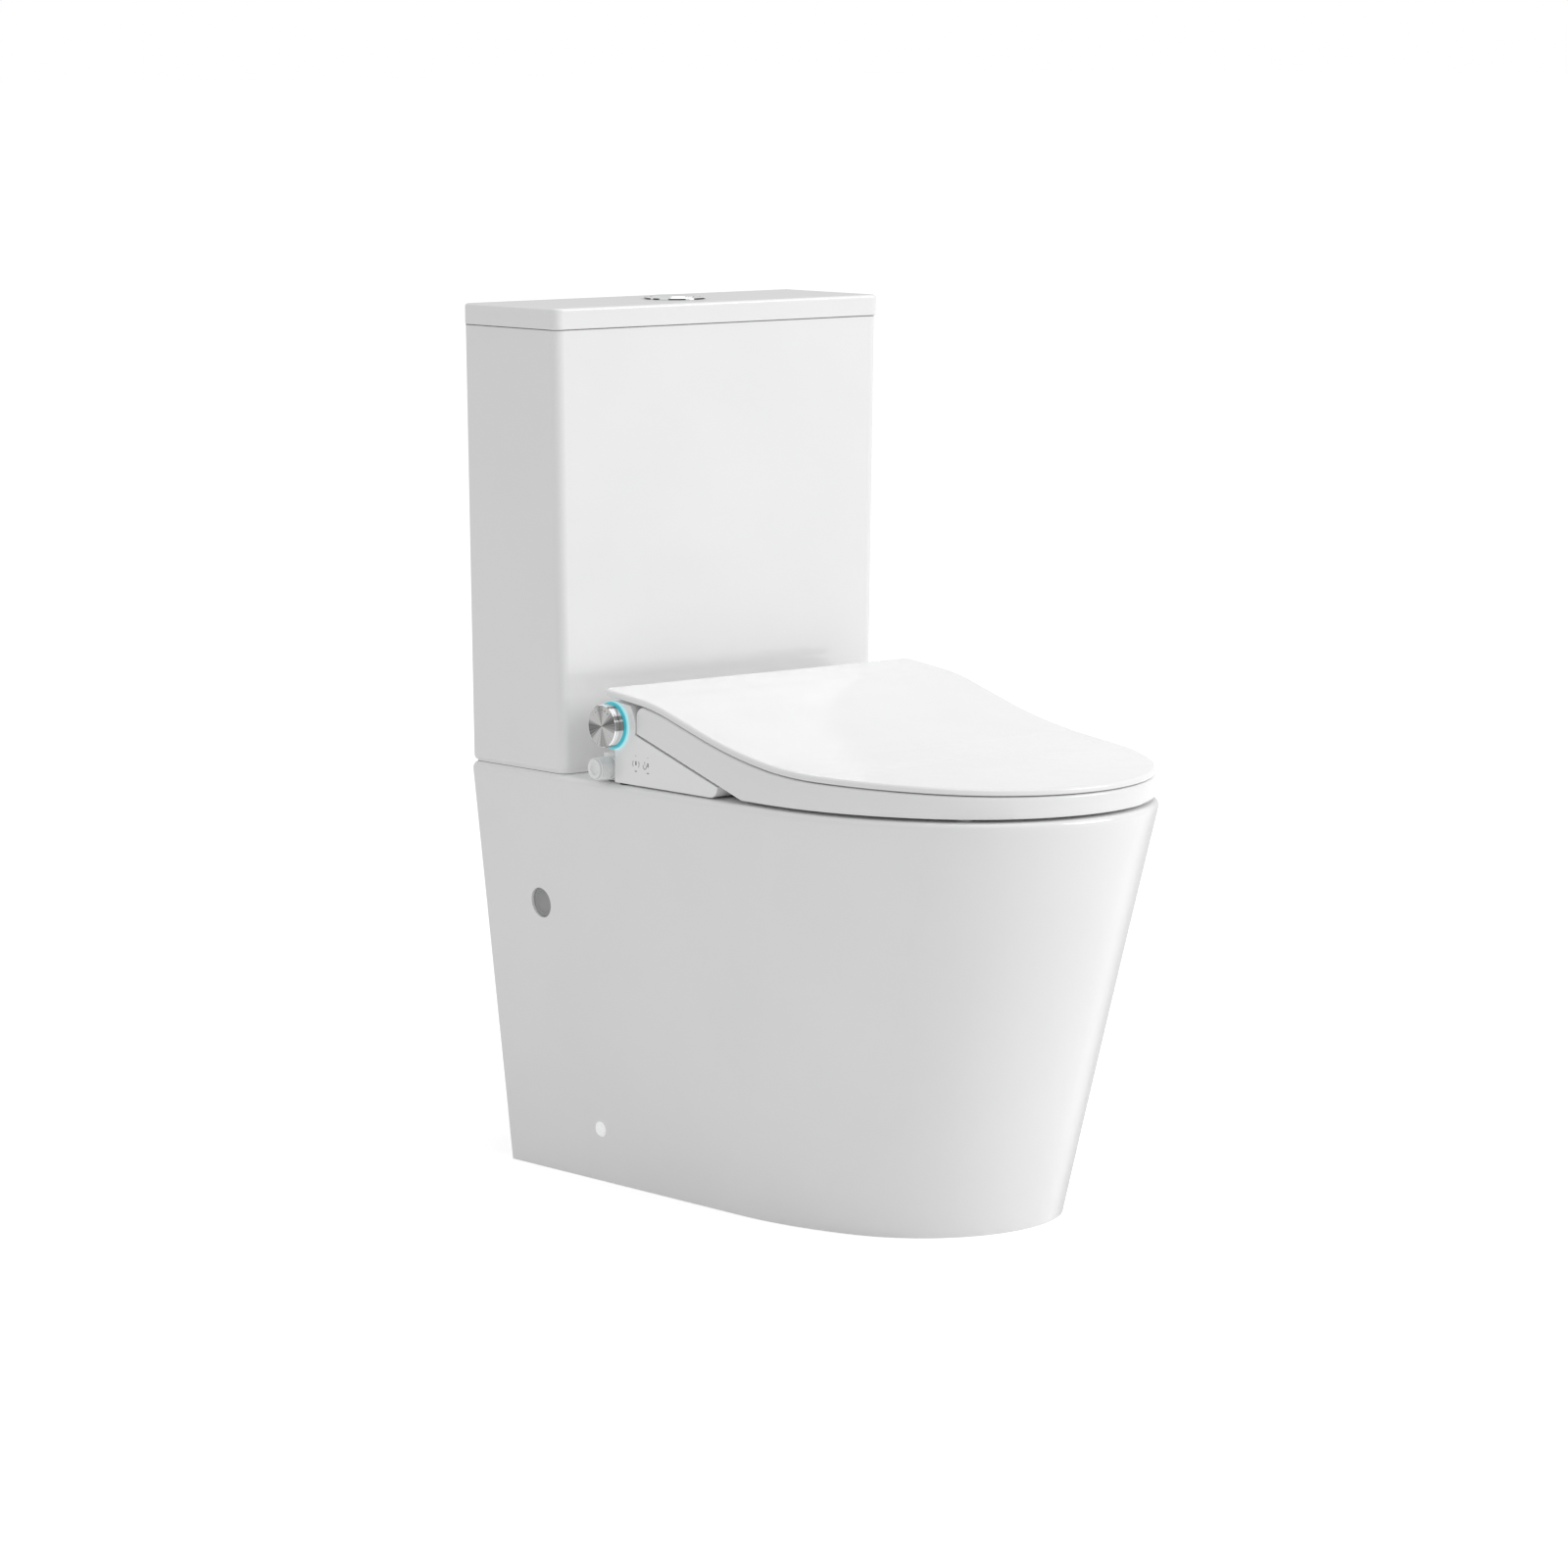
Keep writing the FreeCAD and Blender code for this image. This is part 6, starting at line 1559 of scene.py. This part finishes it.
@dataclass
class InnerWorks:
    """Everything else of the CAD model, which keeps its own shape."""

    def build(self) -> list[bpy.types.Object]:
        """Gives each node that still shows the finish of its slot.

        Returns:
            The dressed nodes.
        """
        dressed = []
        for name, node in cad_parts.items():
            if node.hide_render:
                continue
            slot = Slot(node.material_slots[0].material.name.split(".")[0])
            node.material_slots[0].material = FINISHES[slot].material()
            dressed.append(node)
            LOG.info("%s: finish %s", name, slot.value)
        return dressed


@dataclass(frozen=True)
class Lamp:
    """A square soft lamp: its place and width in metres and its power in watts."""

    name: str
    place: Point
    size: float
    power: float

    def hang(self, aim: Point) -> None:
        """Hangs the lamp, turned towards a point.

        Args:
            aim: The point.
        """
        data = bpy.data.lights.new(self.name, "AREA")
        data.size = self.size
        data.energy = self.power
        made = bpy.data.objects.new(self.name, data)
        turn = (Vector(aim) - Vector(self.place)).to_track_quat("-Z", "Y")
        made.matrix_world = Matrix.Translation(self.place) @ turn.to_matrix().to_4x4()
        bpy.context.scene.collection.objects.link(made)


@dataclass
class Studio:
    """Pale floor, soft light and the camera."""

    eye: Point = (-3.4659, -3.9535, 1.1149)
    right: Point = (0.7602, -0.6497, 0.0)
    back: Point = (-0.6436, -0.7530, 0.1369)
    lens: float = 130.5
    sensor: float = 36.0
    sight: float = 200.0
    ambient: float = 0.60
    floor_lift: float = 0.50
    floor_size: float = 60.0
    floor_tones: tuple[Colour, Colour] = ((0.86, 0.86, 0.86, 1.0), (0.87, 0.87, 0.87, 1.0))
    floor_patch: float = 0.6
    floor_roughness: float = 0.9
    aim: Point = (0.0, 0.0, 0.42)
    lamps: tuple[Lamp, ...] = (
        Lamp("key_softbox", (2.6, -3.4, 2.4), 2.4, 76.0),
        Lamp("top_softbox", (0.2, -0.6, 4.2), 2.6, 30.0),
    )

    def build(self) -> None:
        """Sets up the camera, floor, world and lamps."""
        self.camera()
        self.floor()
        self.world()
        for lamp in self.lamps:
            lamp.hang(self.aim)
        bpy.context.scene.view_settings.view_transform = "Standard"

    def camera(self) -> None:
        """Places the camera at the photograph's angle."""
        data = bpy.data.cameras.new("camera")
        data.lens = self.lens
        data.sensor_width = self.sensor
        data.sensor_fit = "HORIZONTAL"
        data.clip_end = self.sight
        made = bpy.data.objects.new("camera", data)
        back, right = Vector(self.back).normalized(), Vector(self.right).normalized()
        turn = Matrix((right, back.cross(right), back)).transposed()
        made.matrix_world = Matrix.Translation(self.eye) @ turn.to_4x4()
        bpy.context.scene.collection.objects.link(made)
        bpy.context.scene.camera = made

    def floor(self) -> None:
        """Lays the floor, white to the camera, with the object's shadow."""
        bm = bmesh.new()
        bmesh.ops.create_grid(bm, x_segments=1, y_segments=1, size=self.floor_size)
        mesh = bpy.data.meshes.new("floor")
        bm.to_mesh(mesh)
        bm.free()
        graph = SurfaceGraph("floor_paint")
        tone = graph.tint(graph.noise(self.floor_patch), *self.floor_tones)
        graph.surface(Base_Color=tone, Roughness=self.floor_roughness)
        glow = graph.node("ShaderNodeEmission", None, {"Strength": graph.seen() * self.floor_lift})
        inputs = {0: graph.shader.outputs[0], 1: glow.outputs[0]}
        graph.end_in(graph.node("ShaderNodeAddShader", None, inputs).outputs[0])
        mesh.materials.append(graph.material)
        made = bpy.data.objects.new("floor", mesh)
        bpy.context.scene.collection.objects.link(made)

    def world(self) -> None:
        """Surrounds the object with even light, white where the camera or metal looks."""
        world = bpy.data.worlds.new("studio")
        bpy.context.scene.world = world
        world.use_nodes = True
        graph = Graph(world.node_tree)
        level = graph.seen() * (1.0 - self.ambient) + self.ambient
        sky = graph.node("ShaderNodeBackground", None, {"Color": WHITE, "Strength": level})
        graph.node("ShaderNodeOutputWorld", None, {0: sky.outputs[0]})


def main() -> None:
    """Builds each sub-assembly in order, then the studio."""
    logging.basicConfig(level=logging.INFO, format="%(name)s %(message)s")
    parts = (
        CeramicSuite(), BidetSeat(), ControlKnob(), WaterInlet(), FlushButton(), SideFittings(), BaseFeet(),
        InnerWorks(),
    )
    for part in parts:
        made = part.build()
        LOG.info("%s: %d pieces", type(part).__name__, len(made))
    Studio().build()


if __name__ == "__main__":
    main()
